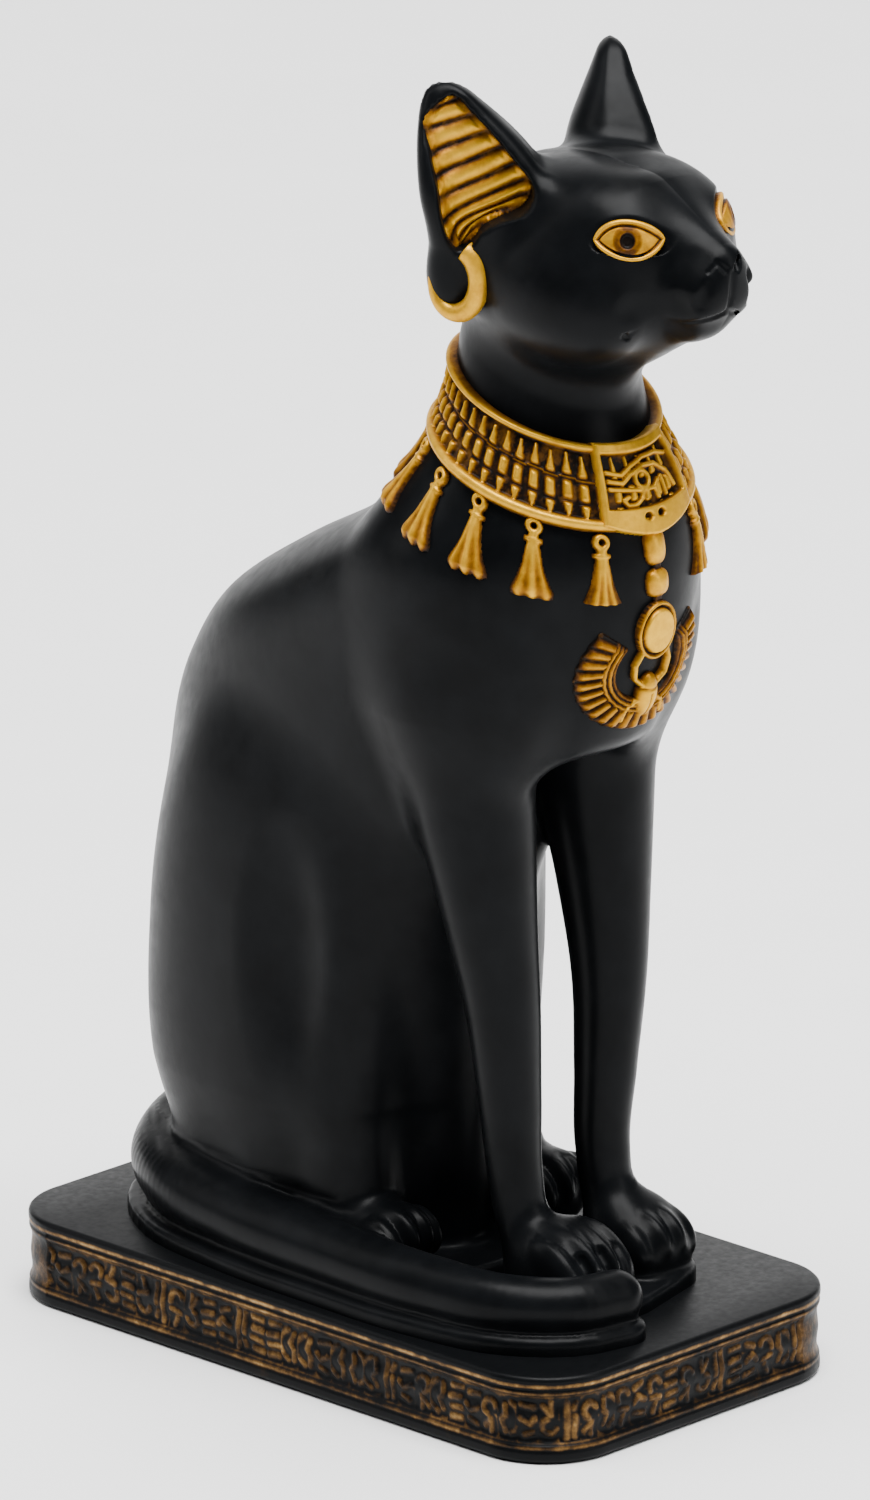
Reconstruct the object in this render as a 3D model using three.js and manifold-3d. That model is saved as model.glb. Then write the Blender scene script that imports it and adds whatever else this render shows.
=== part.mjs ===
// A seated cat figure with a broad collar and pendant, cast in one piece, on its own oblong plinth.
// Millimetres. The cat faces -Y, +Z is up, and the origin is the middle of the plinth's underside.

import * as THREE from 'three';
import { LoftGeometry } from 'three/addons/geometries/LoftGeometry.js';
import { SimplifyModifier } from 'three/addons/modifiers/SimplifyModifier.js';
import { mergeVertices } from 'three/addons/utils/BufferGeometryUtils.js';
import Module from 'manifold-3d';

const wasm = await Module();
wasm.setup();

// Driving dimensions of the figure
const FIGURE_HEIGHT = 186.8; // from the plinth's top to the ear tips
const SOLE_HEIGHT = 2.5; // the thin base cast with the cat
const SOLE_MARGIN = 0.5; // how far the sole shows beyond the tail

// Driving dimensions of the plinth
const PLINTH_HEIGHT = 13.5;
const SIDE_MARGIN = 1.9; // plinth beyond the sole at the tail's side
const END_MARGIN = 4.3; // plinth beyond the sole at the front
const PLINTH_CORNER = 12.3; // radius of the four upright corners
const EDGE_ROUND = 0.7; // worn upper and lower edges
const BORDER_HEIGHT = 2.4; // plain band above and below the frieze
const FRIEZE_DEPTH = 0.6; // how far the frieze lies behind its borders
const STROKE_WIDTH = 1.1;
const STROKE_BEHIND = 0.1; // how far the strokes' faces lie behind the borders
const MARK_PITCH = 6.2;

// Driving dimensions of the collar, as cast
const BEAD_COLUMNS = 46;
const RIM_PROUD = 1.6;
const BEAD_PROUD = 1.2;
const BEAD_GROUND = 0.45;
const PLAQUE_HALF_ANGLE = 25.5;
const PLAQUE_PROUD = 2.0;

// The figure's points below are drawn for this height, and grow with the figure.
const DRAWN_HEIGHT = 186.8;
const GROWTH = FIGURE_HEIGHT / DRAWN_HEIGHT;
const SOLE = SOLE_HEIGHT / GROWTH;
const DEGREE = Math.PI / 180;
const CAT_TRIANGLES = 8300;
const GRID_STEP = 1.4;

// Joins and forms as distances: negative inside, positive outside

function smoothMin(a, b, round) {
  const h = Math.max(round - Math.abs(a - b), 0) / round;
  return Math.min(a, b) - (h * h * round) / 4;
}

function smoothMax(a, b, round) {
  return -smoothMin(-a, -b, round);
}

// A smooth curve through [place, value] knots, flat beyond its ends.
function curve(knots) {
  const place = knots.map((knot) => knot[0]);
  const value = knots.map((knot) => knot[1]);
  const last = knots.length - 1;
  const slope = value.map((v, i) => {
    if (i === 0) return (value[1] - v) / (place[1] - place[0]);
    if (i === last) return (v - value[i - 1]) / (place[i] - place[i - 1]);
    const before = place[i] - place[i - 1];
    const after = place[i + 1] - place[i];
    const rise = before * before * value[i + 1] - after * after * value[i - 1];
    return (rise + (after * after - before * before) * v) / (before * after * (before + after));
  });
  let known = NaN;
  let answer = 0;
  return (at) => {
    if (at === known) return answer;
    let i = 0;
    while (i < last - 1 && at > place[i + 1]) i += 1;
    const span = place[i + 1] - place[i];
    const t = Math.min(Math.max((at - place[i]) / span, 0), 1);
    const t2 = t * t;
    const t3 = t2 * t;
    known = at;
    answer =
      (2 * t3 - 3 * t2 + 1) * value[i] +
      (t3 - 2 * t2 + t) * span * slope[i] +
      (3 * t2 - 2 * t3) * value[i + 1] +
      (t3 - t2) * span * slope[i + 1];
    return answer;
  };
}

// A limb or tail: a smooth path through [x, y, z, radius] knots, in `count` short round cones.
function limbPath(knots, count) {
  const along = [0];
  for (let i = 1; i < knots.length; i += 1) {
    const [a, b] = [knots[i - 1], knots[i]];
    along.push(along[i - 1] + Math.hypot(b[0] - a[0], b[1] - a[1], b[2] - a[2]));
  }
  const parts = [0, 1, 2, 3].map((k) => curve(knots.map((knot, i) => [along[i], knot[k]])));
  const length = along[along.length - 1];
  return Array.from({ length: count + 1 }, (_, i) => parts.map((part) => part((length * i) / count)));
}

function coneDistance(x, y, z, a, b) {
  const [dx, dy, dz] = [b[0] - a[0], b[1] - a[1], b[2] - a[2]];
  const dot = (x - a[0]) * dx + (y - a[1]) * dy + (z - a[2]) * dz;
  const t = Math.min(Math.max(dot / (dx * dx + dy * dy + dz * dz), 0), 1);
  const reach = Math.hypot(x - a[0] - t * dx, y - a[1] - t * dy, z - a[2] - t * dz);
  return reach - a[3] - t * (b[3] - a[3]);
}

function limb(path) {
  return (x, y, z) => {
    let nearest = Infinity;
    for (let i = 1; i < path.length; i += 1) {
      nearest = Math.min(nearest, coneDistance(x, y, z, path[i - 1], path[i]));
    }
    return nearest;
  };
}

// An ellipsoid, squarer where its power is over 2.
function ellipsoid(centre, radii, { yaw = 0, pitch = 0, power = 2 } = {}) {
  const [cosYaw, sinYaw] = [Math.cos(yaw * DEGREE), Math.sin(yaw * DEGREE)];
  const [cosPitch, sinPitch] = [Math.cos(pitch * DEGREE), Math.sin(pitch * DEGREE)];
  return (x, y, z) => {
    const [px, py, pz] = [x - centre[0], y - centre[1], z - centre[2]];
    const flat = -sinYaw * px + cosYaw * py;
    const u = Math.abs(cosYaw * px + sinYaw * py) / radii[0];
    const v = Math.abs(cosPitch * flat + sinPitch * pz) / radii[1];
    const w = Math.abs(-sinPitch * flat + cosPitch * pz) / radii[2];
    const size = (u ** power + v ** power + w ** power + 1e-12) ** (1 / power);
    const scale = size ** (1 - power);
    const steep = Math.hypot(
      (scale * u ** (power - 1)) / radii[0],
      (scale * v ** (power - 1)) / radii[1],
      (scale * w ** (power - 1)) / radii[2],
    );
    return (size - 1) / (steep + 1e-6);
  };
}

// A column of elliptic section, squarer where its power is over 2
function ellipseDistance(u, v, halfU, halfV, power = 2) {
  const [shareU, shareV] = [Math.abs(u / halfU), Math.abs(v / halfV)];
  const size = (shareU ** power + shareV ** power) ** (1 / power);
  if (size < 0.3) return -0.5 * Math.min(halfU, halfV);
  const steep = Math.hypot(shareU ** (power - 1) / halfU, shareV ** (power - 1) / halfV);
  return ((size - 1) * size ** (power - 1)) / steep;
}

// The torso and neck: the back's and the chest's outline, the half width and where it is widest, by height
const backOutline = curve([
  [-4, 34], [4, 38], [14, 41], [26, 43.5], [42, 45.8], [57, 47.2], [71, 46.8], [86, 42.6],
  [98, 33.6], [108, 18.5], [117, 2.5], [126, -6], [136, -10.5], [148, -13], [160, -13],
]);
const chestOutline = curve([
  [-4, -10], [4, -11], [14, -12], [26, -13], [42, -15], [57, -17.5], [68, -23], [76, -31], [83, -38],
  [90, -42.5], [98, -45.3], [106, -46.9], [117, -46.8], [126, -44.5], [136, -39.7], [148, -38.6], [160, -39],
]);
const torsoHalfWidth = curve([
  [-4, 13], [14, 15], [42, 17], [57, 19.5], [71, 22], [86, 23.6], [98, 24.4], [108, 25], [117, 24.4],
  [126, 20], [136, 14.8], [148, 12.9], [160, 12.6],
]);
const torsoWidest = curve([
  [-4, 16], [14, 16], [42, 15], [57, 12], [71, 5], [86, -5], [98, -13], [108, -19], [117, -22],
  [126, -24], [136, -25.5], [148, -26], [160, -27],
]);
const TORSO_TOP = 152;
const underside = ellipsoid([0, -36.5, 60], [15, 21, 25], { power: 3 }); // the space below the chest

function torso(x, y, z) {
  const widest = torsoWidest(z);
  const depth = y > widest ? backOutline(z) - widest : widest - chestOutline(z);
  const wall = ellipseDistance(x, y - widest, torsoHalfWidth(z), Math.max(depth, 3));
  const form = 0.85 * smoothMax(smoothMax(wall, z - TORSO_TOP, 6), -z - 2, 1);
  return smoothMax(form, -underside(x, y, z), 4);
}

// Paired forms are drawn on the +X side and mirrored.
const thighForm = ellipsoid([12, 17, 43], [14, 22.8, 37], { pitch: 7, yaw: 4, power: 2.4 });
// The height of the thigh's lower edge, by y
const thighFoot = curve([[-14, 21], [-7, 18], [9, 13.9], [28, 12.2], [40, 12]]);
const thigh = (x, y, z) => smoothMax(thighForm(x, y, z), thighFoot(y) - z, 1.4);
const thighBlend = curve([[12, 3], [26, 10]]); // how softly it joins the torso, by height
const flankHollow = ellipsoid([27.4, 2.6, 50], [5, 5, 16]);
const shin = limb(limbPath([
  [16.6, 3.4, 62, 4], [17.2, 1.6, 46, 4.6], [16.2, -0.4, 28, 4.4], [15.8, -3, 12, 4.6],
], 8));
const hindFoot = limb(limbPath([
  [16, 26, 6, 4.6], [17, 8, 6.2, 5], [17, -4, 7.4, 5.8], [16.6, -10.2, 7.2, 6],
], 8));
const shoulder = ellipsoid([13.5, -21.6, 104.5], [11.2, 17.7, 22.3], { pitch: -16, power: 2.1 });
const foreleg = limb(limbPath([
  [13.6, -21, 92, 10.4], [12.7, -23, 76, 9], [12.1, -25.6, 60, 7.0], [11.3, -27.5, 46, 5.6],
  [10.2, -27.9, 32, 4.7], [9.3, -28.2, 20, 4.1], [9.2, -30, 12, 4.0], [9.3, -33, 7, 4.2],
], 18));
// The right forepaw is the larger and reaches further forward.
const forepawLeft = ellipsoid([10.6, -33.8, 5.2], [7.4, 7.6, 7.4], { pitch: 32, power: 2.6 });
const forepawRight = ellipsoid([-6.4, -37, 5.7], [8, 8.4, 7.8], { pitch: 32, power: 2.6 });

function body(x, y, z) {
  const side = Math.abs(x);
  let form = smoothMin(torso(x, y, z), thigh(side, y, z), thighBlend(z));
  form = smoothMax(smoothMin(form, shin(side, y, z), 7), -flankHollow(side, y, z), 6);
  const arm = smoothMin(shoulder(side, y, z), foreleg(side, y, z), 8);
  form = smoothMin(form, arm, 3.2);
  form = smoothMin(form, Math.min(forepawLeft(x, y, z), forepawRight(x, y, z)), 4);
  return smoothMin(form, hindFoot(side, y, z), 1.6);
}

// The head: skull, brows, cheeks and jaw, muzzle with its two pads, chin and the bridge of the nose
const skull = ellipsoid([0, -31.5, 160], [17, 19, 14.4], { pitch: 4 });
const brow = ellipsoid([5.2, -41.2, 165.5], [8.7, 12.8, 8.9], { yaw: 8 });
const cheek = ellipsoid([8, -38.5, 155.5], [9, 13.5, 8.8], { yaw: 12 });
const jaw = limb([[0, -53, 155, 3.4], [0, -36, 149.5, 7.5]]);
const muzzle = limb([[0, -46, 160.2, 8.8], [0, -57.1, 159.6, 5]]);
const muzzlePad = ellipsoid([3, -57.5, 159.3], [3.6, 4.3, 3.8]);
const chin = ellipsoid([0, -54.8, 154.9], [3.6, 4.2, 3]);
const noseBridge = limb([[0, -46.5, 168.4, 4.7], [0, -59.4, 163.8, 2.6]]);

function head(x, y, z) {
  const side = Math.abs(x);
  const cheeks = smoothMin(cheek(side, y, z), jaw(x, y, z), 4);
  let form = smoothMin(skull(x, y, z), brow(side, y, z), 7);
  form = smoothMin(form, cheeks, 7);
  form = smoothMin(form, muzzle(x, y, z), 6);
  form = smoothMin(form, noseBridge(x, y, z), 5);
  form = smoothMin(form, muzzlePad(side, y, z), 3);
  return smoothMin(form, chin(x, y, z), 2.5);
}

// An ear: an upright cup, rounded behind and open sideways and forward, with bowed side edges.
// `across` runs from its outer back edge to its inner front edge, and `out` the way that it opens.
const EAR_TURN = 45.85;
const [EAR_COS, EAR_SIN] = [Math.cos(EAR_TURN * DEGREE), Math.sin(EAR_TURN * DEGREE)];
const earAcross = (side, y) => -EAR_COS * side - EAR_SIN * y;
const earOut = (side, y) => EAR_COS * side - EAR_SIN * y;
const EAR_FOOT = 154;
const EAR_TIP = DRAWN_HEIGHT;
const earOuterEdge = curve([
  [150, 2], [158, 1.2], [163, 1], [166, 0.6], [170.4, -0.3], [175, -0.7], [180, -0.6], [184, 0],
  [186.5, 1.2], [EAR_TIP + 1.2, 2.6],
]);
const earInnerEdge = curve([
  [150, 20], [158, 20], [168, 19.5], [174, 17.6], [179, 13.8], [184, 8.4], [186.6, 5.2], [EAR_TIP + 1.2, 3],
]);
const earMiddle = curve([[150, 27.5], [162, 27.8], [175, 27.4], [EAR_TIP + 1.2, 27.4]]);
const earHalfDepth = curve([
  [150, 2.5], [157, 3], [162, 5], [167, 6.4], [171, 6.6], [175, 5.7], [179, 4.2], [182.5, 2.9],
  [185.5, 1.8], [EAR_TIP + 0.7, 1],
]);

// The hollow of the ear: its two side edges by height
const HOLLOW_FOOT = 162.6;
const HOLLOW_TIP = EAR_TIP - 1.8;
const hollowOuterEdge = curve([
  [162.7, 4.7], [164.3, 3.8], [167.4, 2.9], [172.3, 2.2], [176.6, 1.3], [182.8, 1.4], [184.8, 3.6],
]);
const hollowInnerEdge = curve([
  [162.7, 6.3], [164.3, 7.7], [165.8, 8.7], [167.4, 11.3], [168.6, 14], [170.4, 15.6], [172.3, 15.9],
  [176.6, 12.8], [179.7, 10.1], [183.7, 6.1], [185, 4.9],
]);
const HOLLOW_DEPTH = 0.8; // in shares of the ear's half depth
const HOLLOW_POWER = 4; // how square the hollow's section is
const LOBE = [4.4, 28.6, 158.2]; // in the ear's own across, out and height
const lobe = ellipsoid(LOBE, [3.2, 3.6, 5.4]);

function ear(x, y, z) {
  const side = Math.abs(x);
  const halfAcross = Math.max((earInnerEdge(z) - earOuterEdge(z)) / 2, 0.2);
  const halfDepth = Math.max(earHalfDepth(z), 0.2);
  const u = earAcross(side, y) - (earOuterEdge(z) + earInnerEdge(z)) / 2;
  const v = earOut(side, y) - earMiddle(z);
  const round = Math.min(3, halfAcross, halfDepth);
  const front = smoothMax(Math.abs(u) - halfAcross, v - halfDepth, round);
  const wall = v < 0 ? ellipseDistance(u, v, halfAcross, halfDepth) : front;
  const cup = smoothMax(smoothMax(0.8 * wall, z - EAR_TIP, 2), EAR_FOOT - z, 3);
  return smoothMin(cup, lobe(earAcross(side, y), earOut(side, y), z), 2);
}

function earHollow(x, y, z) {
  const side = Math.abs(x);
  const halfAcross = Math.max((hollowInnerEdge(z) - hollowOuterEdge(z)) / 2, 0.1);
  const depth = Math.max(HOLLOW_DEPTH * earHalfDepth(z), 0.2);
  const u = earAcross(side, y) - (hollowOuterEdge(z) + hollowInnerEdge(z)) / 2;
  const v = earOut(side, y) - earMiddle(z) - earHalfDepth(z);
  const wall = v < 0 ? ellipseDistance(u, v, halfAcross, depth, HOLLOW_POWER) : Math.abs(u) - halfAcross;
  return smoothMax(0.8 * wall, Math.max(HOLLOW_FOOT - z, z - HOLLOW_TIP), 1);
}

// The tail runs from the rump round the cat's right side and ends before its right forepaw.
const TAIL_PATH = limbPath([
  [7, 42, 9.5, 8], [-4, 42.2, 9.2, 7.6], [-13.2, 38.4, 8.6, 6.8], [-20.3, 29.5, 7.9, 6],
  [-24.1, 14, 7.2, 5.2], [-25.4, -6, 6.8, 4.8], [-25.4, -26, 6.5, 4.5], [-22.6, -40, 6.3, 4.3],
  [-16.5, -46.8, 6.2, 4.2], [-9.5, -48.6, 6.1, 4.1],
], 28);
const tail = limb(TAIL_PATH);
// What fills the pocket between the tail and the rump
const tailBed = limb([[3, 38, 3, 3], [-8, 35.5, 3.5, 3.8], [-13, 29.5, 4.5, 4.4], [-17, 22, 4, 3.4]]);

function figure(x, y, z) {
  let form = smoothMin(body(x, y, z), head(x, y, z), 5);
  form = smoothMin(form, ear(x, y, z), 3);
  form = smoothMax(form, -earHollow(x, y, z), 0.8);
  return smoothMin(form, Math.min(tail(x, y, z), tailBed(x, y, z)), 1.2);
}

// The skin of a form inside a box, by cutting each cell of a grid into six tetrahedra
const CELL_TETRAHEDRA = [[0, 1, 3, 7], [0, 3, 2, 7], [0, 2, 6, 7], [0, 6, 4, 7], [0, 4, 5, 7], [0, 5, 1, 7]];

function skinOf(form, low, high, step) {
  const count = low.map((l, k) => Math.ceil((high[k] - l) / step) + 1);
  const total = count[0] * count[1] * count[2];
  const value = new Float32Array(total);
  const place = (i, k) => low[k] + i * step;
  const cornerOf = (i, j, k) => (k * count[1] + j) * count[0] + i;
  for (let k = 0; k < count[2]; k += 1) {
    for (let j = 0; j < count[1]; j += 1) {
      for (let i = 0; i < count[0]; i += 1) {
        value[cornerOf(i, j, k)] = form(place(i, 0), place(j, 1), place(k, 2));
      }
    }
  }
  const positions = [];
  const index = [];
  const made = new Map();
  const pointAt = (corner) => {
    const i = corner % count[0];
    const j = Math.floor(corner / count[0]) % count[1];
    return [place(i, 0), place(j, 1), place(Math.floor(corner / (count[0] * count[1])), 2)];
  };
  const crossing = (a, b) => {
    const key = Math.min(a, b) * total + Math.max(a, b);
    if (made.has(key)) return made.get(key);
    const [p, q] = [pointAt(Math.min(a, b)), pointAt(Math.max(a, b))];
    const [from, to] = [value[Math.min(a, b)], value[Math.max(a, b)]];
    const t = Math.min(Math.max(from / (from - to), 0.06), 0.94);
    const id = positions.length / 3;
    positions.push(...p.map((v, n) => v + t * (q[n] - v)));
    made.set(key, id);
    return id;
  };
  const addFace = (a, b, c, inner, outer) => {
    const at = (id, n) => positions[3 * id + n];
    const [u, v] = [b, c].map((id) => [0, 1, 2].map((n) => at(id, n) - at(a, n)));
    const facing = [u[1] * v[2] - u[2] * v[1], u[2] * v[0] - u[0] * v[2], u[0] * v[1] - u[1] * v[0]];
    const [p, q] = [pointAt(inner), pointAt(outer)];
    const outward = facing.reduce((sum, f, n) => sum + f * (q[n] - p[n]), 0) > 0;
    index.push(...(outward ? [a, b, c] : [a, c, b]));
  };
  for (let k = 0; k + 1 < count[2]; k += 1) {
    for (let j = 0; j + 1 < count[1]; j += 1) {
      for (let i = 0; i + 1 < count[0]; i += 1) {
        const corners = [];
        for (let n = 0; n < 8; n += 1) corners.push(cornerOf(i + (n & 1), j + ((n >> 1) & 1), k + (n >> 2)));
        const inside = corners.filter((corner) => value[corner] < 0).length;
        if (inside === 0 || inside === 8) continue;
        for (const four of CELL_TETRAHEDRA) {
          const inner = four.map((n) => corners[n]).filter((corner) => value[corner] < 0);
          const outer = four.map((n) => corners[n]).filter((corner) => value[corner] >= 0);
          if (inner.length === 1) {
            const ring = outer.map((corner) => crossing(inner[0], corner));
            addFace(...ring, inner[0], outer[0]);
          }
          if (inner.length === 3) {
            const ring = inner.map((corner) => crossing(corner, outer[0]));
            addFace(...ring, inner[0], outer[0]);
          }
          if (inner.length === 2) {
            const [a, b] = outer.map((corner) => crossing(inner[0], corner));
            const [d, c] = outer.map((corner) => crossing(inner[1], corner));
            addFace(a, b, c, inner[0], outer[0]);
            addFace(a, c, d, inner[0], outer[0]);
          }
        }
      }
    }
  }
  return new THREE.BufferGeometry()
    .setAttribute('position', new THREE.Float32BufferAttribute(positions, 3))
    .setIndex(index);
}

// A closed geometry as a solid that faces outwards, and a solid back as a geometry
function solidOf(geometry) {
  const bare = new THREE.BufferGeometry().setAttribute('position', geometry.getAttribute('position').clone());
  bare.setIndex(geometry.index);
  const merged = mergeVertices(bare, 1e-4);
  const triVerts = new Uint32Array(merged.index.array);
  const make = () => new wasm.Manifold(new wasm.Mesh({
    numProp: 3,
    vertProperties: merged.attributes.position.array,
    triVerts,
  }));
  const made = make();
  if (made.volume() > 0) return made;
  for (let i = 0; i < triVerts.length; i += 3) {
    [triVerts[i + 1], triVerts[i + 2]] = [triVerts[i + 2], triVerts[i + 1]];
  }
  return make();
}

function geometryOf(solid) {
  const mesh = solid.getMesh();
  const geometry = new THREE.BufferGeometry();
  geometry.setAttribute('position', new THREE.BufferAttribute(new Float32Array(mesh.vertProperties), 3));
  geometry.setIndex(new THREE.BufferAttribute(new Uint32Array(mesh.triVerts), 1));
  return geometry;
}

function joined(solids) {
  let rest = solids;
  while (rest.length > 1) {
    const pairs = [];
    for (let i = 0; i < rest.length; i += 2) {
      pairs.push(i + 1 < rest.length ? rest[i].add(rest[i + 1]) : rest[i]);
    }
    rest = pairs;
  }
  return rest[0];
}

// Where a ray meets the figure's skin, and which way the skin faces there
const spot = (x, y, z) => new THREE.Vector3(x, y, z);

function skinAlong(from, toward) {
  const at = from.clone();
  for (let n = 0; n < 90; n += 1) {
    const gap = figure(at.x, at.y, at.z);
    if (gap < 0.01) break;
    at.addScaledVector(toward, 0.8 * gap);
  }
  return at;
}

function facing(at) {
  const e = 0.4;
  return spot(
    figure(at.x + e, at.y, at.z) - figure(at.x - e, at.y, at.z),
    figure(at.x, at.y + e, at.z) - figure(at.x, at.y - e, at.z),
    figure(at.x, at.y, at.z + e) - figure(at.x, at.y, at.z - e),
  ).normalize();
}

function raised(at, height) {
  return at.clone().addScaledVector(facing(at), height);
}

// The sole's outline is that of the tail, the rump with its hind feet, and the forepaws, run together.
const tailFoot = limb(TAIL_PATH.map(([x, y, , radius]) => [x, y, 0, radius + SOLE_MARGIN]));
const rumpFoot = ellipsoid([0.5, 14, 0], [24.2, 33, 40], { power: 2.6 });
const pawFoot = limb([[-12, -36, 0, 8], [0, -37.2, 0, 8], [12, -34.6, 0, 7.4]]);
const SOLE_POINTS = 72;
const SOLE_ROUND = 0.7;

function soleRing(inset, height) {
  const outline = (x, y) => {
    const feet = smoothMin(rumpFoot(x, y, 0), pawFoot(x, y, 0), 10);
    return smoothMin(feet, tailFoot(x, y, 0), 4) + inset;
  };
  return Array.from({ length: SOLE_POINTS }, (_, i) => {
    const angle = (2 * Math.PI * i) / SOLE_POINTS;
    let reach = 75;
    for (let n = 0; n < 80; n += 1) {
      reach -= 0.8 * outline(reach * Math.cos(angle), reach * Math.sin(angle));
    }
    return spot(reach * Math.cos(angle), reach * Math.sin(angle), height);
  });
}

function sole() {
  const rings = [soleRing(0, -3), soleRing(0, SOLE - SOLE_ROUND), soleRing(SOLE_ROUND, SOLE)];
  return solidOf(new LoftGeometry(rings, { capStart: true, capEnd: true }));
}

// A rope of round or flattened section laid along points: its half width and its rise above them by place
function rope(points, halfWidth, rise, sides, { loop = false, level } = {}) {
  const last = points.length - 1;
  const sections = points.map((point, i) => {
    const before = points[i > 0 ? i - 1 : loop ? last - 1 : 0];
    const after = points[i < last ? i + 1 : loop ? 1 : last];
    const ahead = after.clone().sub(before).normalize();
    const up = level ?? facing(point);
    const across = up.clone().cross(ahead).normalize();
    const t = i / last;
    return Array.from({ length: sides }, (_, n) => {
      const angle = ((n + 0.5) / sides) * 2 * Math.PI;
      const offset = across.clone().multiplyScalar(halfWidth(t) * Math.cos(angle));
      return point.clone().add(offset).addScaledVector(up, rise(t) * Math.sin(angle));
    });
  });
  if (loop) sections[last] = sections[0];
  return solidOf(new LoftGeometry(sections, { capStart: !loop, capEnd: !loop }));
}

function bead(at, radii, segments) {
  const up = facing(at);
  const side = spot(0, 0, 1).cross(up).normalize();
  const frame = new THREE.Matrix4().makeBasis(side, up.clone().cross(side), up).setPosition(at);
  const ball = new THREE.SphereGeometry(1, segments[0], segments[1]).scale(...radii);
  return solidOf(ball.applyMatrix4(frame));
}

// Places on the collar: `angle` in degrees round the neck from the front, `down` from its top rim, 0, to its
// bottom rim, 1. Rays leave the neck's axis in planes that dip towards the chest.
const NECK_AXIS = -26.3;
const COLLAR_TOP = 138.8;
const COLLAR_DROP = 10.5;
const TOP_DIP = 0.415;
const DIP_CHANGE = -0.07;
const RAY_START = 48;

function collarPoint(angle, down) {
  const dip = TOP_DIP + DIP_CHANGE * down;
  const [across, ahead] = [Math.sin(angle * DEGREE), Math.cos(angle * DEGREE)];
  const toward = spot(across, -ahead, -dip * ahead).normalize();
  const axis = spot(0, NECK_AXIS, COLLAR_TOP - COLLAR_DROP * down);
  return skinAlong(axis.addScaledVector(toward, RAY_START), toward.clone().negate());
}

// Bead strands: the height of a strand's ridge and of the ground between strands, from rim to rim
const COLLAR_PROFILE = [
  [0.1, -2, -2], [0, 1, 1], [0.1, 1, 1], [0.14, 0, 0], [0.3, 0.75, 0], [0.42, 0.2, 0], [0.54, 1, 0],
  [0.66, 0.2, 0], [0.76, 0.85, 0], [0.86, 0, 0], [0.89, 1, 1], [0.99, 1, 1], [0.9, -2, -2],
];

function collar() {
  const steps = 2 * BEAD_COLUMNS;
  const sections = Array.from({ length: steps }, (_, i) => {
    const angle = (360 * i) / steps;
    return COLLAR_PROFILE.map(([down, ridge, ground]) => {
      const share = i % 2 === 0 ? ridge : ground;
      const isRim = ridge === ground && ridge > 0;
      const beadHeight = share < 0 ? share : BEAD_GROUND + share * (BEAD_PROUD - BEAD_GROUND);
      return raised(collarPoint(angle, down), isRim ? RIM_PROUD : beadHeight);
    });
  });
  sections.push(sections[0]);
  return solidOf(new LoftGeometry(sections));
}

// The plaque in front: a raised frame round a sunk field that holds an eye
const PLAQUE_FIELD = 0.8;
const PLAQUE_ANGLES = [
  [-1, 1], [-0.9, 1], [-0.87, 0], [-0.5, 0], [0, 0], [0.5, 0], [0.87, 0], [0.9, 1], [1, 1],
];
const PLAQUE_PROFILE = [
  [0.1, -1], [-0.03, 1], [0.1, 1], [0.13, 0], [0.72, 0], [0.75, 1], [1.05, 1], [0.9, -1],
];

function plaque() {
  const sections = PLAQUE_ANGLES.map(([share, isSide]) =>
    PLAQUE_PROFILE.map(([down, kind]) => {
      const proud = kind > 0 || isSide ? PLAQUE_PROUD : PLAQUE_FIELD;
      return raised(collarPoint(share * PLAQUE_HALF_ANGLE, down), kind < 0 ? -2 : proud);
    }),
  );
  return solidOf(new LoftGeometry(sections, { capStart: true, capEnd: true }));
}

function plaqueStroke(places, halfWidth) {
  const onField = ([share, down]) => raised(collarPoint(share * PLAQUE_HALF_ANGLE, down), PLAQUE_FIELD);
  const points = places.map(onField);
  return rope(points, () => halfWidth, () => 0.8, 4);
}

function plaqueEye() {
  const upperLid = [[-0.6, 0.44], [-0.2, 0.33], [0.2, 0.34], [0.6, 0.46]];
  const lowerLid = [[-0.6, 0.44], [-0.2, 0.55], [0.2, 0.54], [0.6, 0.46]];
  const browLine = [[-0.7, 0.3], [-0.2, 0.2], [0.3, 0.2], [0.75, 0.3]];
  const drop = [[-0.1, 0.54], [-0.16, 0.66]];
  const tailLine = [[0.1, 0.54], [0.4, 0.66], [0.65, 0.62]];
  return [upperLid, lowerLid, browLine, drop, tailLine].map((places) => plaqueStroke(places, 0.55));
}

// Tassels hang on small rings below the collar, and a counterpoise hangs at the nape.
const TASSEL_ANGLES = [31, 55, 78, 102, 126, 150];
const tasselWidth = curve([[0, 0.9], [0.3, 1.5], [0.6, 2.2], [0.85, 3.3], [1, 3.5]]);
const tasselRise = curve([[0, 1], [0.3, 1.5], [0.85, 1.9], [1, 1.5]]);

function hanging(angle, top, bottom, count, halfWidth, rise) {
  const downAt = (i) => top + ((bottom - top) * i) / (count - 1);
  const points = Array.from({ length: count }, (_, i) => collarPoint(angle, downAt(i)));
  return rope(points, halfWidth, rise, 6);
}

function tassel(angle) {
  const ring = bead(collarPoint(angle, 1.16), [1.3, 1.3, 0.9], [6, 4]);
  return [ring, hanging(angle, 1.24, 1.92, 4, tasselWidth, tasselRise)];
}

function counterpoise() {
  const width = curve([[0, 2.6], [1, 5]]);
  return hanging(180, 0.94, 1.75, 3, width, () => 2.4);
}

// The pendant: two links, a disc and a winged scarab on the breast
const breastPoint = (x, z) => skinAlong(spot(x, -90, z), spot(0, 1, 0));
const DISC_CENTRE = 106;
const DISC_RADIUS = 4.3;
const WING_CENTRE = 100.6;
const WING_INNER = 4.2;
const WING_OUTER = 10.4;
const WING_SPREAD = 138;
const FEATHER_STEPS = 22;

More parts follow.
